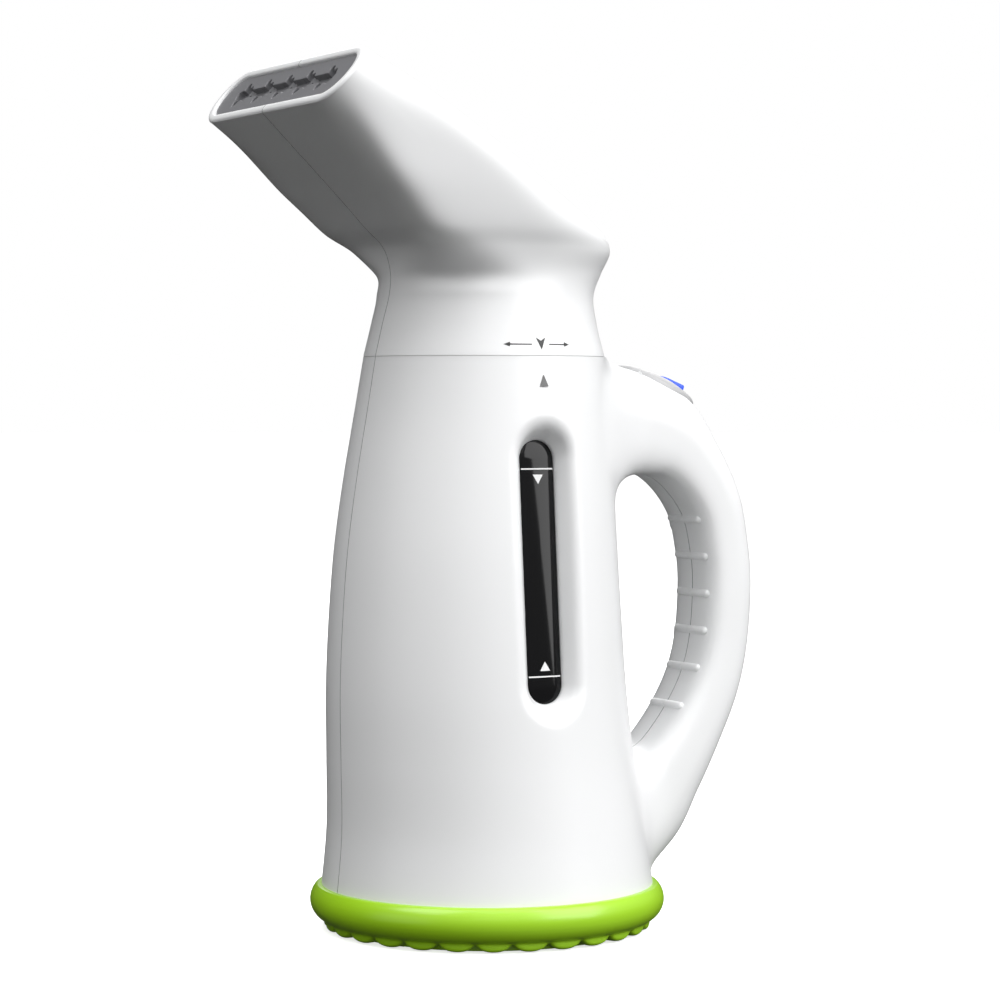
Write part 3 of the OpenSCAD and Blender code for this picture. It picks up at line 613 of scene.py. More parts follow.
def head_half_ring(s, inset, count):
    """Half an outline of the head, from its front middle over its side to its rear middle,
    with even steps along it: across, y and z."""
    a = np.linspace(-math.pi / 2, math.pi / 2, 1200)
    front, rear = np.array(s[0:2]), np.array(s[2:4])
    span = rear - front
    up = span / np.linalg.norm(span)
    h = np.linalg.norm(span) / 2 - inset
    w = s[4] - inset
    n = np.where(np.sin(a) >= 0, s[6], s[5])
    p = np.stack([w * power(np.cos(a), n), h * power(np.sin(a), n)], 1)
    if w > h:
        core = np.stack([np.clip(p[:, 0], h - w, w - h), np.zeros(len(a))], 1)
        away = p - core
        away /= np.linalg.norm(away, axis=1)[:, None]
        p = p + (core + h * away - p) * s[7]
    length = np.r_[0, np.cumsum(np.linalg.norm(np.diff(p, axis=0), axis=1))]
    even = np.linspace(0, length[-1], count)
    p = np.stack([np.interp(even, length, p[:, i]) for i in range(2)], 1)
    mid = (front + rear) / 2
    return np.stack([p[:, 0], mid[0] + up[0] * p[:, 1], mid[1] + up[1] * p[:, 1]], 1)


NOZZLE_WALL = 3.9
PLATE_GAP = 2.7  # width of the white rim round the nozzle plate
PLATE_POCKET = 3.4
# The rim's rounded section: inset from the outline, and lift
RIM = [(0.12, 0.45), (0.4, 0.8), (0.85, 0.98), (1.4, 1.0), (2.1, 0.98), (2.5, 0.82)]
RIM.append((PLATE_GAP, 0.5))
HEAD_RINGS, HEAD_COUNT, PLATE_LEDGE = ((110, 130, 5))


def head_shell(side, name, material, seam_shade_material):
    """Half of the head as a closed wall: outside, rim, then back down the inside."""
    rings, count = HEAD_RINGS, HEAD_COUNT
    outward = np.array([0, -math.sin(NOZZLE_TILT), math.cos(NOZZLE_TILT)])
    table = spline(HEAD, np.linspace(0, 1, rings))
    end = table[-1]
    outside = [head_half_ring(s, 0, count) for s in table]
    outside[-1] = outside[-1] - outward
    rim = [head_half_ring(end, inset, count) + outward * (lift - 1) for inset, lift in RIM]
    rim.append(head_half_ring(end, PLATE_GAP, count) - outward * PLATE_POCKET)
    inside = []
    for k in range(rings - 1 - PLATE_LEDGE, -1, -1):
        inset = WALL + (NOZZLE_WALL - WALL) * (k / (rings - 1)) ** 8  # thickens near the nozzle
        inside.append(head_half_ring(table[k], inset, count))
    outside[0][:, 2] = HEAD_BOTTOM
    inside[-1][:, 2] = HEAD_BOTTOM
    for loop in outside + rim + inside:
        loop[:, 0] = np.maximum(loop[:, 0], SEAM_HALF) * side
    if side > 0:
        for loop in rim[-1:] + inside:
            loop[[0, -1], 0] = SEAM_SHUT
    bm = bmesh.new()
    grid = [[bm.verts.new(p * MM) for p in loop] for loop in outside + rim + inside]
    closed = grid + [grid[0]]
    for a, b in zip(closed, closed[1:]):
        for i in range(count - 1):
            bm.faces.new([a[i], b[i], b[i + 1], a[i + 1]])
    turn = len(inside)
    for edge in (0, -1):
        line = [row[edge] for row in grid]
        for k in range(turn - 1):
            bm.faces.new([line[k], line[k + 1], line[-k - 2], line[-k - 1]])
        lip = bm.faces.new(line[turn - 1 : len(line) - turn + 1])
        bmesh.ops.triangulate(bm, faces=[lip])
    bmesh.ops.recalc_face_normals(bm, faces=bm.faces[:])
    paint_seam_shade(bm)
    if side < 0:
        bm = screw_holes(bm)
    made = from_bmesh(name + "_smooth", bm, material, "head", [name], "shell_white", sharp=50)
    made.data.materials.append(seam_shade_material)
    return made


CUTTER_X = -60  # outside the head
SCREW_HOLE_SIDES = 40


def screw_holes(bm):
    """Bores the shell for the sunk screws, each hole with a tube that leads in to its seat."""
    cutter = bmesh.new()
    for y, z in HEAD_SCREWS:
        middle = Vector(((CUTTER_X + HEAD_SCREW_SEAT_X) / 2, y, z)) * MM
        turned = Matrix.Translation(middle) @ Matrix.Rotation(math.pi / 2, 4, "Y")
        bmesh.ops.create_cone(
            cutter,
            cap_ends=True,
            segments=SCREW_HOLE_SIDES,
            radius1=SCREW_HOLE_R * MM,
            radius2=SCREW_HOLE_R * MM,
            depth=(HEAD_SCREW_SEAT_X - CUTTER_X) * MM,
            matrix=turned,
        )
    shape = BVHTree.FromBMesh(bm)
    bm = boolean(bm, cutter)
    for y, z in HEAD_SCREWS:
        skin = shape.ray_cast(Vector((CUTTER_X, y, z)) * MM, Vector((1, 0, 0)))[0].x / MM
        inner, outer = SCREW_HOLE_R, SCREW_HOLE_R + 0.8
        near, far = HEAD_SCREW_SEAT_X, skin + 1.2
        rims = ((near, inner), (far, inner), (far, outer), (near, outer))
        rings = [circle(x, y, z, r, SCREW_HOLE_SIDES) for x, r in rims]
        add_stack(bm, rings, closed=True)
    return bm


def boolean(bm, cutter):
    """bm with cutter taken away."""
    whole, tool = held(bm), held(cutter)
    cutting = whole.modifiers.new("cut", "BOOLEAN")
    cutting.object = tool
    cutting.solver = "EXACT"
    return released(whole, tool)


# ---- base ring ----

BULGE_R, BULGE_Z, BULGE_ROUND = 45.2, 8.6, 6
LOBES, LOBE_R = 28, 6.35
LOBE_OUT, LOBE_CORNER = 47.2, 1.8
LOBE_IN, LOBE_TOP = 39, 6
# Plain bands: middle radius and half width, middle height and half height
RING_COLLAR = (43.5, 2, 9, 5.4)
RING_FOOT = (38.5, 3.5, 3, 3)
RING_LEDGE = (42, 2, 4.7, 1.3)
BASE_HEAD_R, BASE_HEAD_TOP, BASE_SHANK_R = 3, 3.5, 1.55


def band(r, z, place):
    mid_r, half_w, mid_z, half_h = place
    return np.maximum(np.abs(r - mid_r) - half_w, np.abs(z - mid_z) - half_h)


def ring_field(angle, r, z):
    """Field of the ring in angle, radius and height."""
    bulge = np.hypot(r - BULGE_R, z - BULGE_Z) - BULGE_ROUND
    bulge = np.minimum(bulge, band(r, z, RING_COLLAR))
    pitch = 2 * math.pi / LOBES
    aside = (np.mod(angle + pitch / 2, pitch) - pitch / 2) * r
    lobe = np.hypot(aside, z - LOBE_R - 0.05) - LOBE_R
    past_side = np.maximum(r - LOBE_OUT + LOBE_CORNER, 0)
    corner = np.hypot(past_side, np.maximum(LOBE_CORNER - z, 0)) - LOBE_CORNER
    lobe = cut(lobe, -corner, 1.2)
    lobe = np.maximum(np.maximum(lobe, LOBE_IN - r), z - LOBE_TOP)
    whole = join(bulge, lobe, 0.5)
    plain = np.minimum(band(r, z, RING_FOOT), band(r, z, RING_LEDGE))
    whole = np.maximum(np.minimum(whole, plain), z - RING_TOP)
    for a in BASE_SCREW_ANGLES:
        dx = r * np.cos(angle) - BASE_SCREW_RING * math.cos(a)
        dy = r * np.sin(angle) - BASE_SCREW_RING * math.sin(a)
        bore = np.hypot(dx, dy)
        head = np.maximum(bore - BASE_HEAD_R, z - BASE_HEAD_TOP)
        whole = np.maximum(whole, -np.minimum(head, bore - BASE_SHANK_R))
    return whole


def base_ring(material):
    steps = LOBES * 22
    turn = 2 * math.pi / steps
    cell = (turn, 0.4, 0.4)
    low = (-turn * 1.5, 33.8, -0.9)
    high = (2 * math.pi + turn * 0.5, 52.6, 15.1)
    points, quads = surface(ring_field, low, high, cell, rounds=0)
    angle, r, z = points.T
    bm, _ = net(np.stack([r * np.cos(angle), r * np.sin(angle), z], 1), quads)
    bmesh.ops.remove_doubles(bm, verts=bm.verts[:], dist=0.02 * MM)
    bmesh.ops.recalc_face_normals(bm, faces=bm.faces[:])
    return from_bmesh(
        "base_ring_smooth", bm, material, "base", ["base_ring"], "base_lime", sharp=35
    )


# ---- frames of the small pieces ----


def nozzle_frame():
    return Matrix.Translation(Vector(NOZZLE)) @ Matrix.Rotation(NOZZLE_TILT, 4, "X")


def switch_frame():
    return Matrix.Translation(Vector(SWITCH)) @ Matrix.Rotation(SWITCH_TILT, 4, "X")


def window_frame():
    """Local x runs across, y up and z outward."""
    axes = Matrix(((0, 0, 1), (1, 0, 0), (0, 1, 0))).to_4x4()
    return Matrix.Translation(Vector(WINDOW)) @ Matrix.Rotation(-WINDOW_LEAN, 4, "Y") @ axes


def placed(points, matrix):
    m = np.array(matrix)
    return np.asarray(points) @ m[:3, :3].T + m[:3, 3]


# ---- nozzle plate ----

PLATE_HALF, PLATE_R, PLATE_T, PLATE_INSET = 35, 7.2, 2.4, 0.8
PORTS, PORT_PITCH, PORT_DEPTH = 5, 14, 1.9
PORT_BORE_R = 1.2
SLOT_PAST, SLOT_HALF = 3.2, 1.55  # how far the slot runs past the last ports, and half its width
PETALS = ((105, 3.9), (172, 4.4), (236, 4.6), (334, 4.0), (35, 3.6))  # direction and length
PETAL_HALF, PETAL_TAPER = 1.75, 0.16


def plate_field(x, y, z):
    body = slot_distance(y, x, PLATE_HALF) - PLATE_R
    body = cut(body, -(z + PLATE_INSET), 0.35)
    body = np.maximum(body, -PLATE_INSET - PLATE_T - z)
    recess = slot_distance(y, x, PORT_PITCH * (PORTS - 1) / 2 + SLOT_PAST) - SLOT_HALF
    for i in range(PORTS):
        dx = x - (i - (PORTS - 1) / 2) * PORT_PITCH
        for angle, length in PETALS:
            c, s = math.cos(math.radians(angle)), math.sin(math.radians(angle))
            along = dx * c + y * s
            width = PETAL_HALF - PETAL_TAPER * along
            petal = np.hypot(dx * s - y * c, along - np.clip(along, 0, length - 0.6)) - width
            recess = join(recess, petal, 0.3)
    body = cut(body, np.maximum(recess, -PLATE_INSET - PORT_DEPTH - z), 0.25)
    for i in range(PORTS):
        dx = x - (i - (PORTS - 1) / 2) * PORT_PITCH
        body = cut(body, np.hypot(dx, y) - PORT_BORE_R, 0.2)
    return body


def nozzle_plate(material):
    low = (-PLATE_HALF - PLATE_R - 1, -PLATE_R - 1, -PLATE_INSET - PLATE_T - 1)
    high = (PLATE_HALF + PLATE_R + 1, PLATE_R + 1, 1)
    points, quads = surface(plate_field, low, high, SMALL_CELL, rounds=1)
    points = placed(points, nozzle_frame())
    return mesh_piece(
        "nozzle_plate_smooth", points, quads, material, "head", ["nozzle_plate"], "nozzle_grey", 38
    )


# ---- stadium pieces: lens ----


def stadium_stack(half_length, radius, levels, steps=24):
    """Closed solid from stadium outlines, each inset and at a height."""
    points, faces = [], []
    turn = np.linspace(0, math.pi, steps)
    ends = [(half_length, -math.pi / 2), (-half_length, math.pi / 2)]
    n = 2 * steps
    for inset, height in levels:
        r = max(radius - inset, 0.001)
        for shift, start in ends:
            points += [(shift + r * math.cos(a), r * math.sin(a), height) for a in start + turn]
    for k in range(len(levels) - 1):
        for i in range(n):
            j = (i + 1) % n
            faces.append((k * n + i, k * n + j, (k + 1) * n + j, (k + 1) * n + i))
    faces.append(tuple(range(n - 1, -1, -1)))
    faces.append(tuple((len(levels) - 1) * n + i for i in range(n)))
    return np.array(points), faces


LENS_HALF_W, LENS_HALF_H = 5.35, 36.9
LENS_FACE, LENS_CROWN = -7.35, 0.55  # height of the edge of its face, and the rise to the middle
# Inset and height of the flange and of the rounded edge
LENS_EDGE = [(-4, -10.9), (-4, -9.75), (0, -9.7), (0, -7.65), (0.1, -7.48), (0.3, -7.4)]


def gauge_lens(material):
    """A flanged lens with a crowned face."""
    crown = [(i / 8, LENS_CROWN * (1 - (1 - i / 8) ** 2)) for i in range(1, 9)]
    levels = LENS_EDGE + [(LENS_HALF_W * (0.1 + 0.9 * s), LENS_FACE + lift) for s, lift in crown]
    points, faces = stadium_stack(LENS_HALF_H - LENS_HALF_W, LENS_HALF_W, levels)
    points = points[:, [1, 0, 2]] * np.array([-1, 1, 1])
    points = placed(points, window_frame())
    return mesh_piece(
        "gauge_lens_smooth", points, faces, material, "base", ["gauge_lens"], "lens_smoke", 30
    )


# ---- switch ----

BEZEL_CROWN, BEZEL_TUBE, BEZEL_BEND, BEZEL_T = 2.9, 13.6, 21.2, 1.6
ROCKER_W, ROCKER_HALF_L = 8.6, 7.6
# The wedge from the side, without its stem: y and z
ROCKER_SIDE = [(-7.6, 0.2), (-0.4, 2.7), (6.9, 3.1), (7.6, -1.6), (2, -5.2), (-7.6, -3.6)]
PIVOT_Z, PIVOT_BORE_R = -2.5, 0.85


def bezel_field(x, y, z):
    outline = lens_outline(x, y)
    ring = np.hypot(y, z - (BEZEL_CROWN - BEZEL_TUBE - BEZEL_BEND)) - BEZEL_BEND
    torus = np.hypot(x, ring) - BEZEL_TUBE
    slab = np.maximum(torus, -torus - BEZEL_T)
    body = -join(-outline, -slab, 0.8)
    hole = np.maximum(np.abs(x) - ROCKER_W / 2 - 0.4, np.abs(y) - ROCKER_HALF_L - 0.8)
    return cut(body, hole, 0.7)


def switch_bezel(material):
    low = (-BEZEL_HALF_W - 1, -BEZEL_HALF_L - 1, -8)
    high = (BEZEL_HALF_W + 1, BEZEL_HALF_L + 1, BEZEL_CROWN + 1)
    points, quads = surface(bezel_field, low, high, SMALL_CELL, rounds=1)
    points = placed(points, switch_frame())
    return mesh_piece(
        "switch_bezel_smooth", points, quads, material, "base", ["switch_bezel"], "bezel_grey", 38
    )


def rocker_field(x, y, z):
    """A wedge with rounded edges, bored for its pin."""
    body = np.full(np.shape(x), -1e3)
    for (y0, z0), (y1, z1) in zip(ROCKER_SIDE, ROCKER_SIDE[1:] + ROCKER_SIDE[:1]):
        size = math.hypot(y1 - y0, z1 - z0)
        plane = ((y1 - y0) * (z - z0) - (z1 - z0) * (y - y0)) / size
        body = -join(-body, -plane, 0.5)
    body = -join(-body, -(np.abs(x) - ROCKER_W / 2), 0.8)
    stem = np.maximum(np.maximum(np.abs(y) - 1.2, np.abs(z + 5) - 2.2), np.abs(x) - ROCKER_W / 2)
    return cut(np.minimum(body, stem), np.hypot(y, z - PIVOT_Z) - PIVOT_BORE_R, 0.1)


def rocker(material):
    low = (-ROCKER_W / 2 - 0.8, -ROCKER_HALF_L - 0.8, -8)
    high = (ROCKER_W / 2 + 0.8, ROCKER_HALF_L + 0.8, 4)
    points, quads = surface(rocker_field, low, high, ROCKER_CELL, rounds=1)
    points = placed(points, switch_frame())
    return mesh_piece(
        "rocker_smooth", points, quads, material, "rocker", ["rocker"], "rocker_blue", 38
    )


# ---- printed and raised marks ----

LEVEL_LIFT = -6.77  # height of the level marks over the middle of the window


def head_side_x(y, z):
    """Half width of the neck at y and z, from its nearly round sections."""
    table = spline(HEAD, np.linspace(0, 0.4, 300))
    s = table[np.argmin(np.abs(table[:, 1] - z))]
    mid, h = (s[0] + s[2]) / 2, (s[2] - s[0]) / 2
    return s[4] * (1 - abs((y - mid) / h) ** s[5]) ** (1 / s[5])


def body_side_x(y, z):
    """Half width of the body at y and z."""
    radius, shift = body_section(z)
    return math.sqrt(radius**2 - (y + shift) ** 2)


def mark(name, outline, side_x, lift, material, body, thickness):
    """A thin plate with this outline in y and z, laid on the left side of the object."""
    bm = bmesh.new()
    face = bm.faces.new([bm.verts.new((0, y, z)) for y, z in outline])
    bmesh.ops.triangulate(bm, faces=[face])
    bmesh.ops.subdivide_edges(bm, edges=bm.edges[:], cuts=3, use_grid_fill=True)
    for v in bm.verts:
        y, z = v.co.y, v.co.z
        v.co = Vector((side_x(y, z) + lift, y, z)) * MM
    face_left(bm)
    bm = solidified(bm, thickness)
    return from_bmesh(name, bm, material, body, sharp=30)


ARROW_HALF, ARROW_HEAD_HALF, ARROW_HEAD_LENGTH = 0.16, 0.62, 1.7


def arrow(y0, y1, z):
    """Outline of a thin arrow from y0 to y1."""
    neck = y1 - math.copysign(ARROW_HEAD_LENGTH, y1 - y0)
    lower = [(y0, z - ARROW_HALF), (neck, z - ARROW_HALF), (neck, z - ARROW_HEAD_HALF)]
    upper = [(neck, z + ARROW_HEAD_HALF), (neck, z + ARROW_HALF), (y0, z + ARROW_HALF)]
    return lower + [(y1, z)] + upper


def marks(ink, white_ink, raised):
    mark("mark_arrow_open", arrow(-3.9, -12.0, 167.9), head_side_x, 0.05, ink, "head", 0.15)
    mark("mark_arrow_close", arrow(1.6, 8.6, 167.9), head_side_x, 0.05, ink, "head", 0.15)
    pointer = [(-1.0, 166.4), (0.5, 169.8), (-1.0, 168.9), (-2.5, 169.8)]
    mark("mark_pointer_head", pointer, head_side_x, 0.05, ink, "head", 0.15)
    triangle = [(-2.4, 156.2), (0.2, 156.2), (-1.1, 159.4)]
    mark("mark_pointer_body", triangle, body_side_x, 0.35, raised, "base", 0.6)
    for name, height, tick in (("mark_level_high", 28.8, -1), ("mark_level_low", -29.2, 1)):
        level_mark(name, height, tick, white_ink)


def level_mark(name, height, tick, material):
    """A line across the lens with a small triangle below or above it."""
    line = [(-5, -0.2), (5, -0.2), (5, 0.2), (-5, 0.2)]
    triangle = [(-1.6, tick * 1.6), (1.6, tick * 1.6), (0, tick * 4.2)]
    bm = bmesh.new()
    for outline in (line, triangle):
        face = bm.faces.new([bm.verts.new((x, y, 0)) for x, y in outline])
        bmesh.ops.triangulate(bm, faces=[face])
    bmesh.ops.subdivide_edges(bm, edges=bm.edges[:], cuts=7, use_grid_fill=True)
    matrix = window_frame()
    for v in bm.verts:
        share = min(abs(v.co.x) / LENS_HALF_W, 1)
        local = Vector((v.co.x, v.co.y + height, LEVEL_LIFT - LENS_CROWN * share**2))
        v.co = (matrix @ local) * MM
    face_left(bm)
    bm = solidified(bm, 0.12)
    return from_bmesh(name, bm, material, "base", sharp=30)


# ---- materials ----


class Shader:
    """A material whose Principled shader is set by name, with helpers for its nodes."""

    def __init__(self, name, color, **values):
        self.material = bpy.data.materials.new(name)
        self.material.use_nodes = True
        self.tree = self.material.node_tree
        self.main = self.tree.nodes["Principled BSDF"]
        self.main.inputs["Base Color"].default_value = (*color, 1)
        for key, value in values.items():
            socket = key.replace("_", " ").title().replace("Ior", "IOR")
            self.main.inputs[socket].default_value = value
        self.material.diffuse_color = (*color, 1)

    def add(self, kind, **inputs):
        node = self.tree.nodes.new(kind)
        for key, value in inputs.items():
            node.inputs[key.replace("_", " ")].default_value = value
        return node

    def link(self, a, b):
        self.tree.links.new(a, b)

    def place(self, scale):
        """Object coordinates times scale."""
        coordinates = self.tree.nodes.new("ShaderNodeTexCoord")
        mapping = self.tree.nodes.new("ShaderNodeMapping")
        mapping.inputs["Scale"].default_value = scale
        self.link(coordinates.outputs["Object"], mapping.inputs["Vector"])
        return mapping.outputs["Vector"]

    def noise(self, scale, detail=4, roughness=0.5, stretch=(1, 1, 1)):
        node = self.add("ShaderNodeTexNoise", Scale=scale, Detail=detail, Roughness=roughness)
        self.link(self.place(stretch), node.inputs["Vector"])
        return node.outputs["Fac"]

    def span(self, value, low, high):
        """The middle of a noise's values, from 0.3 to 0.7, stretched to low to high."""
        node = self.tree.nodes.new("ShaderNodeMapRange")
        node.inputs["From Min"].default_value = 0.3
        node.inputs["From Max"].default_value = 0.7
        node.inputs["To Min"].default_value = low
        node.inputs["To Max"].default_value = high
        self.link(value, node.inputs["Value"])
        return node.outputs["Result"]

    def tint(self, value, dark, light):
        """Base colour from dark to light, following value."""
        node = self.tree.nodes.new("ShaderNodeMix")
        node.data_type = "RGBA"
        node.inputs["A"].default_value = (*dark, 1)
        node.inputs["B"].default_value = (*light, 1)
        self.link(self.span(value, 0, 1), node.inputs["Factor"])
        self.link(node.outputs["Result"], self.main.inputs["Base Color"])

    def rough(self, value, low, high):
        self.link(self.span(value, low, high), self.main.inputs["Roughness"])

    def bump(self, value, distance, strength):
        node = self.add("ShaderNodeBump", Strength=strength, Distance=distance)
        self.link(value, node.inputs["Height"])
        self.link(node.outputs["Normal"], self.main.inputs["Normal"])


def moulded(name, color, rough, grain=0.000001, **values):
    """Moulded plastic: faint flow marks, a fine texture and a gloss that varies a little."""
    m = Shader(name, color, roughness=rough, **values)
    shade = [c * 0.99 for c in color]
    m.tint(m.noise(14, 3, 0.45, (1, 1, 0.5)), shade, color)
    m.rough(m.noise(120, 4, 0.55), rough * 0.94, rough * 1.06)
    m.bump(m.noise(2600, 2, 0.5), grain, 0.4)
    return m.material


def metal(name, color, rough):
    """Machined metal with fine tool marks."""
    m = Shader(name, color, metallic=1.0, roughness=rough)
    stretch = (1, 1, 12)
    m.rough(m.noise(700, 4, 0.6, stretch), rough * 0.7, rough * 1.4)
    m.bump(m.noise(1500, 3, 0.6, stretch), 0.00001, 0.5)
    m.tint(m.noise(90, 3), [c * 0.9 for c in color], color)
    return m.material


def rubber(name, color, rough=0.6):
    """Soft rubber, matt with a fine dusty grain."""
    m = Shader(name, color, roughness=rough, sheen_weight=0.15)
    m.tint(m.noise(240, 5, 0.6), [c * 0.85 for c in color], [min(c * 1.08, 1) for c in color])
    m.rough(m.noise(900, 3), rough * 0.85, rough * 1.15)
    m.bump(m.noise(3200, 3), 0.000012, 0.6)
    return m.material


def clear(name, color, rough, transmission):
    """Clear plastic, a little wavy."""
    m = Shader(name, color, roughness=rough, transmission_weight=transmission, ior=1.5)
    m.rough(m.noise(120, 4, 0.6), rough * 0.8, rough * 1.3)
    m.bump(m.noise(60, 2), 0.00002, 0.3)
    return m.material


def make_materials():
    return {
        "shell_white": moulded("white_abs", (0.82, 0.825, 0.83), 0.31),
        "base_lime": moulded(
            "lime_abs", (0.34, 0.64, 0.012), 0.32, coat_weight=0.25, coat_roughness=0.15
        ),
        "bezel_grey": moulded("bezel_grey_abs", (0.45, 0.45, 0.455), 0.36),
        "rocker_blue": moulded("rocker_blue_abs", (0.025, 0.1, 0.8), 0.31),
        "nozzle_grey": moulded("nozzle_grey_pps", (0.18, 0.18, 0.19), 0.45, grain=0.000003),
        "lens_smoke": moulded(
            "smoked_lens", (0.003, 0.003, 0.0035), 0.06, 0.0000003, specular_ior_level=0.25
        ),
        "tank_clear": clear("tank_clear_pc", (0.86, 0.92, 0.96), 0.12, 0.75),
        "inner_plastic": moulded("inner_plastic_pa", (0.72, 0.71, 0.68), 0.4),
        "dark_plastic": moulded("dark_plastic_pa", (0.045, 0.045, 0.05), 0.42, grain=0.00001),
        "silicone": rubber("silicone_seal", (0.6, 0.56, 0.48), 0.5),
        "black_rubber": rubber("black_rubber_gland", (0.02, 0.02, 0.021)),
        "heater_metal": metal("cast_aluminium", (0.62, 0.62, 0.63), 0.42),
        "element_steel": metal("element_steel_tube", (0.46, 0.45, 0.44), 0.34),
        "screw_steel": metal("screw_steel_zinc", (0.66, 0.66, 0.68), 0.26),
        "contact_brass": metal("contact_brass_strip", (0.76, 0.58, 0.25), 0.28),
        "ceramic_cream": moulded("ceramic_cream_body", (0.7, 0.64, 0.5), 0.5, grain=0.00001),
        "wire_brown": rubber("wire_brown_pvc", (0.17, 0.07, 0.03), 0.42),
        "wire_black": rubber("wire_black_pvc", (0.02, 0.02, 0.02), 0.42),
        "wire_blue": rubber("wire_blue_pvc", (0.03, 0.1, 0.42), 0.42),
        "wire_white": rubber("wire_white_pvc", (0.7, 0.7, 0.68), 0.42),
    }


def finish_nodes(materials):
    """Every CAD node that shows takes the finish that the record names for it."""
    for row in frame["record"]["subparts"]:
        data = nodes[row["node"]].data
        data.materials.clear()
        data.materials.append(materials[row["material_slot"]])


# ---- stage ----


FLOOR_REACH = 12


def stage():
    """A pale floor out to the horizon. It lights nothing, so that undersides stay dark."""
    pale = Shader("stage_white", (0.9, 0.9, 0.9), roughness=0.9, specular_ior_level=0.1)
    pale.main.inputs["Emission Color"].default_value = (1, 1, 1, 1)
    pale.main.inputs["Emission Strength"].default_value = 0.7
    pale.tint(pale.noise(2), (0.89, 0.89, 0.89), (0.9, 0.9, 0.9))
    bm = bmesh.new()
    bmesh.ops.create_circle(bm, cap_ends=True, segments=64, radius=FLOOR_REACH)
    data = bpy.data.meshes.new("stage_floor")
    bm.to_mesh(data)
    bm.free()
    data.materials.append(pale.material)
    floor = bpy.data.objects.new("stage_floor", data)
    floor.visible_diffuse = False
    floor.visible_glossy = False
    bpy.context.scene.collection.objects.link(floor)


LIGHT_AIM = Vector((0, 0, 0.13))


def area_light(name, azimuth, elevation, distance, size, power_w, roll=0):
    """A soft box at an azimuth counted from -Y towards +X, looking at LIGHT_AIM."""
    light = bpy.data.lights.new(name, "AREA")
    light.shape = "RECTANGLE"
    light.size, light.size_y = size
    light.energy = power_w
    holder = bpy.data.objects.new(name, light)
    a, e = math.radians(azimuth), math.radians(elevation)
    out = Vector((math.sin(a) * math.cos(e), -math.cos(a) * math.cos(e), math.sin(e)))
    holder.location = LIGHT_AIM + out * distance
    turned = out.to_track_quat("Z", "Y").to_matrix() @ Matrix.Rotation(math.radians(roll), 3, "Z")
    holder.rotation_euler = turned.to_euler()
    bpy.context.scene.collection.objects.link(holder)


LIT_SIDE = (0.8, 0.25, 0.54)
SKY_DARK, SKY_BRIGHT = 0.06, 0.8
HORIZON_SHARE = 0.35  # how bright the sky is at the horizon, beside higher up


def smooth_range(tree, *ends):
    """A node that eases a value from one range, low and high, to another."""
    node = tree.nodes.new("ShaderNodeMapRange")
    node.interpolation_type = "SMOOTHSTEP"
    for name, end in zip(("From Min", "From Max", "To Min", "To Max"), ends):
        node.inputs[name].default_value = end
    return node


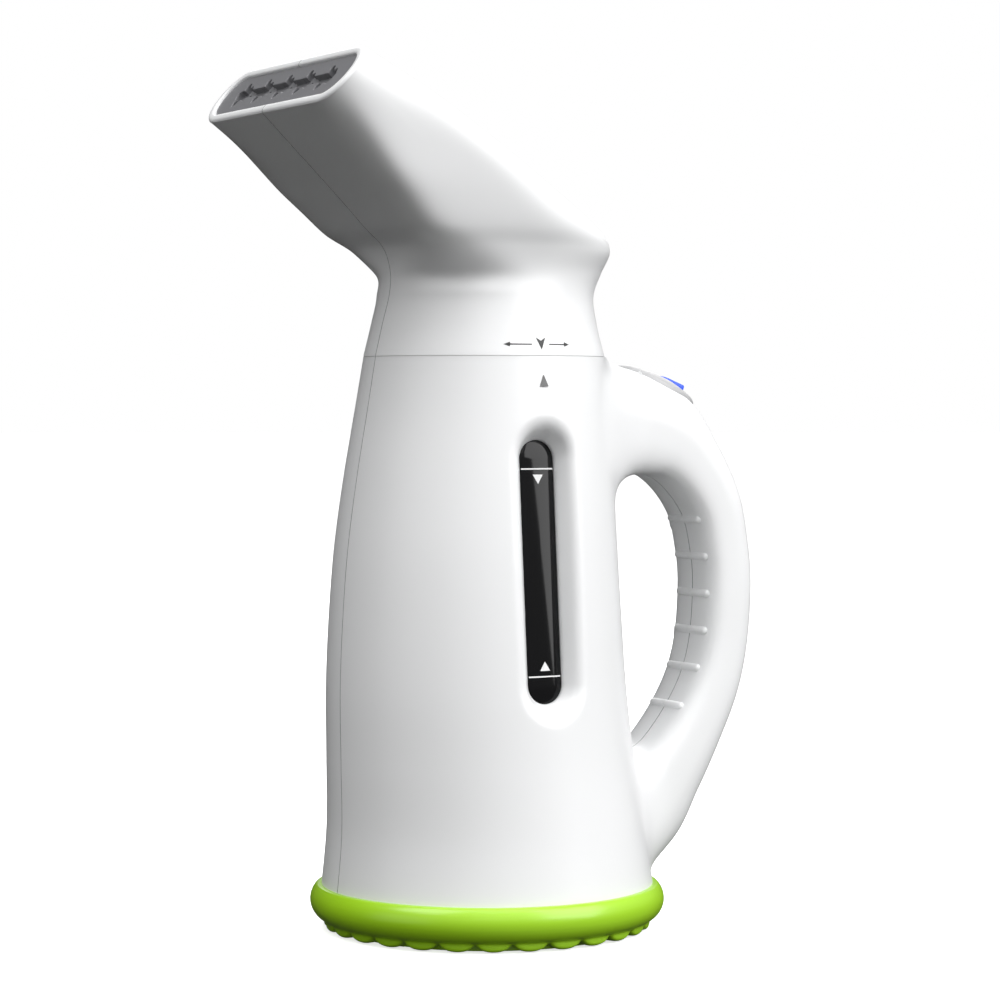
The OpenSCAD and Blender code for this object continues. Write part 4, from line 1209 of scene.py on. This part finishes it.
def sky():
    """Soft light all round, brighter on one side, behind a plain pale background."""
    world = bpy.data.worlds.new("studio")
    world.use_nodes = True
    tree = world.node_tree
    lit = tree.nodes["Background"]
    seen = tree.nodes.new("ShaderNodeBackground")
    for shader in (lit, seen):
        shader.inputs["Color"].default_value = (1, 1, 1, 1)
    place = tree.nodes.new("ShaderNodeTexCoord")
    along = tree.nodes.new("ShaderNodeVectorMath")
    along.operation = "DOT_PRODUCT"
    along.inputs[1].default_value = LIT_SIDE
    span = smooth_range(tree, -0.45, 0.8, SKY_DARK, SKY_BRIGHT)
    axes = tree.nodes.new("ShaderNodeSeparateXYZ")
    rise = smooth_range(tree, -0.1, 0.4, HORIZON_SHARE, 1)
    both = tree.nodes.new("ShaderNodeMath")
    both.operation = "MULTIPLY"
    path = tree.nodes.new("ShaderNodeLightPath")
    mix = tree.nodes.new("ShaderNodeMixShader")
    tree.links.new(place.outputs["Generated"], along.inputs[0])
    tree.links.new(place.outputs["Generated"], axes.inputs["Vector"])
    tree.links.new(axes.outputs["Z"], rise.inputs["Value"])
    tree.links.new(along.outputs["Value"], span.inputs["Value"])
    tree.links.new(span.outputs["Result"], both.inputs[0])
    tree.links.new(rise.outputs["Result"], both.inputs[1])
    tree.links.new(both.outputs["Value"], lit.inputs["Strength"])
    tree.links.new(path.outputs["Is Camera Ray"], mix.inputs["Fac"])
    tree.links.new(lit.outputs["Background"], mix.inputs[1])
    tree.links.new(seen.outputs["Background"], mix.inputs[2])
    tree.links.new(mix.outputs["Shader"], tree.nodes["World Output"].inputs["Surface"])
    bpy.context.scene.world = world


def lights():
    area_light("key_right", 125, 30, 1.6, (1.2, 1.55), 22.2, roll=-20)
    area_light("top_soft", 90, 72, 1.5, (1.0, 1.0), 6)
    area_light("front_top", 5, 55, 1.5, (0.8, 0.8), 9)
    area_light("side_soft", 75, 35, 1.8, (1.2, 1.0), 2.5)
    area_light("front_fill", 5, 6, 1.8, (1.3, 1.2), 3.5)
    area_light("back_fill", 240, 30, 1.8, (1.2, 1.2), 9)


CAMERA_AZIMUTH = math.radians(62)
CAMERA_RANGE = 0.895
CAMERA_HEIGHT = 0.1535
CAMERA_LENS = 111.7
CAMERA_PITCH = math.radians(1.92)
CAMERA_YAW = math.radians(0.24)


def camera():
    data = bpy.data.cameras.new("camera")
    data.lens = CAMERA_LENS
    data.sensor_width = 36
    holder = bpy.data.objects.new("camera", data)
    a = CAMERA_AZIMUTH
    holder.location = (CAMERA_RANGE * math.sin(a), -CAMERA_RANGE * math.cos(a), CAMERA_HEIGHT)
    holder.rotation_euler = (math.pi / 2 - CAMERA_PITCH, 0, a - CAMERA_YAW)
    bpy.context.scene.collection.objects.link(holder)
    bpy.context.scene.camera = holder


materials = make_materials()
finish_nodes(materials)
camera()
stage()
sky()
lights()
# The seam groove's near-black material is painted shade, for the shadow in the narrow gap between
# the shells.
seam_painted_shade = moulded("seam_painted_shade_abs", (0.05, 0.05, 0.05), 0.6)
body_shell(1, "body_shell_left", materials["shell_white"], seam_painted_shade)
body_shell(-1, "body_shell_right", materials["shell_white"], seam_painted_shade)
head_shell(1, "head_shell_left", materials["shell_white"], seam_painted_shade)
head_shell(-1, "head_shell_right", materials["shell_white"], seam_painted_shade)
base_ring(materials["base_lime"])
nozzle_plate(materials["nozzle_grey"])
gauge_lens(materials["lens_smoke"])
switch_bezel(materials["bezel_grey"])
rocker(materials["rocker_blue"])
marks(
    moulded("mark_ink_dark", (0.03, 0.03, 0.03), 0.5),
    moulded("mark_ink_white", (0.8, 0.8, 0.8), 0.5),
    moulded("mark_raised_grey", (0.12, 0.12, 0.12), 0.4),
)
bpy.context.scene.view_settings.view_transform = "Standard"
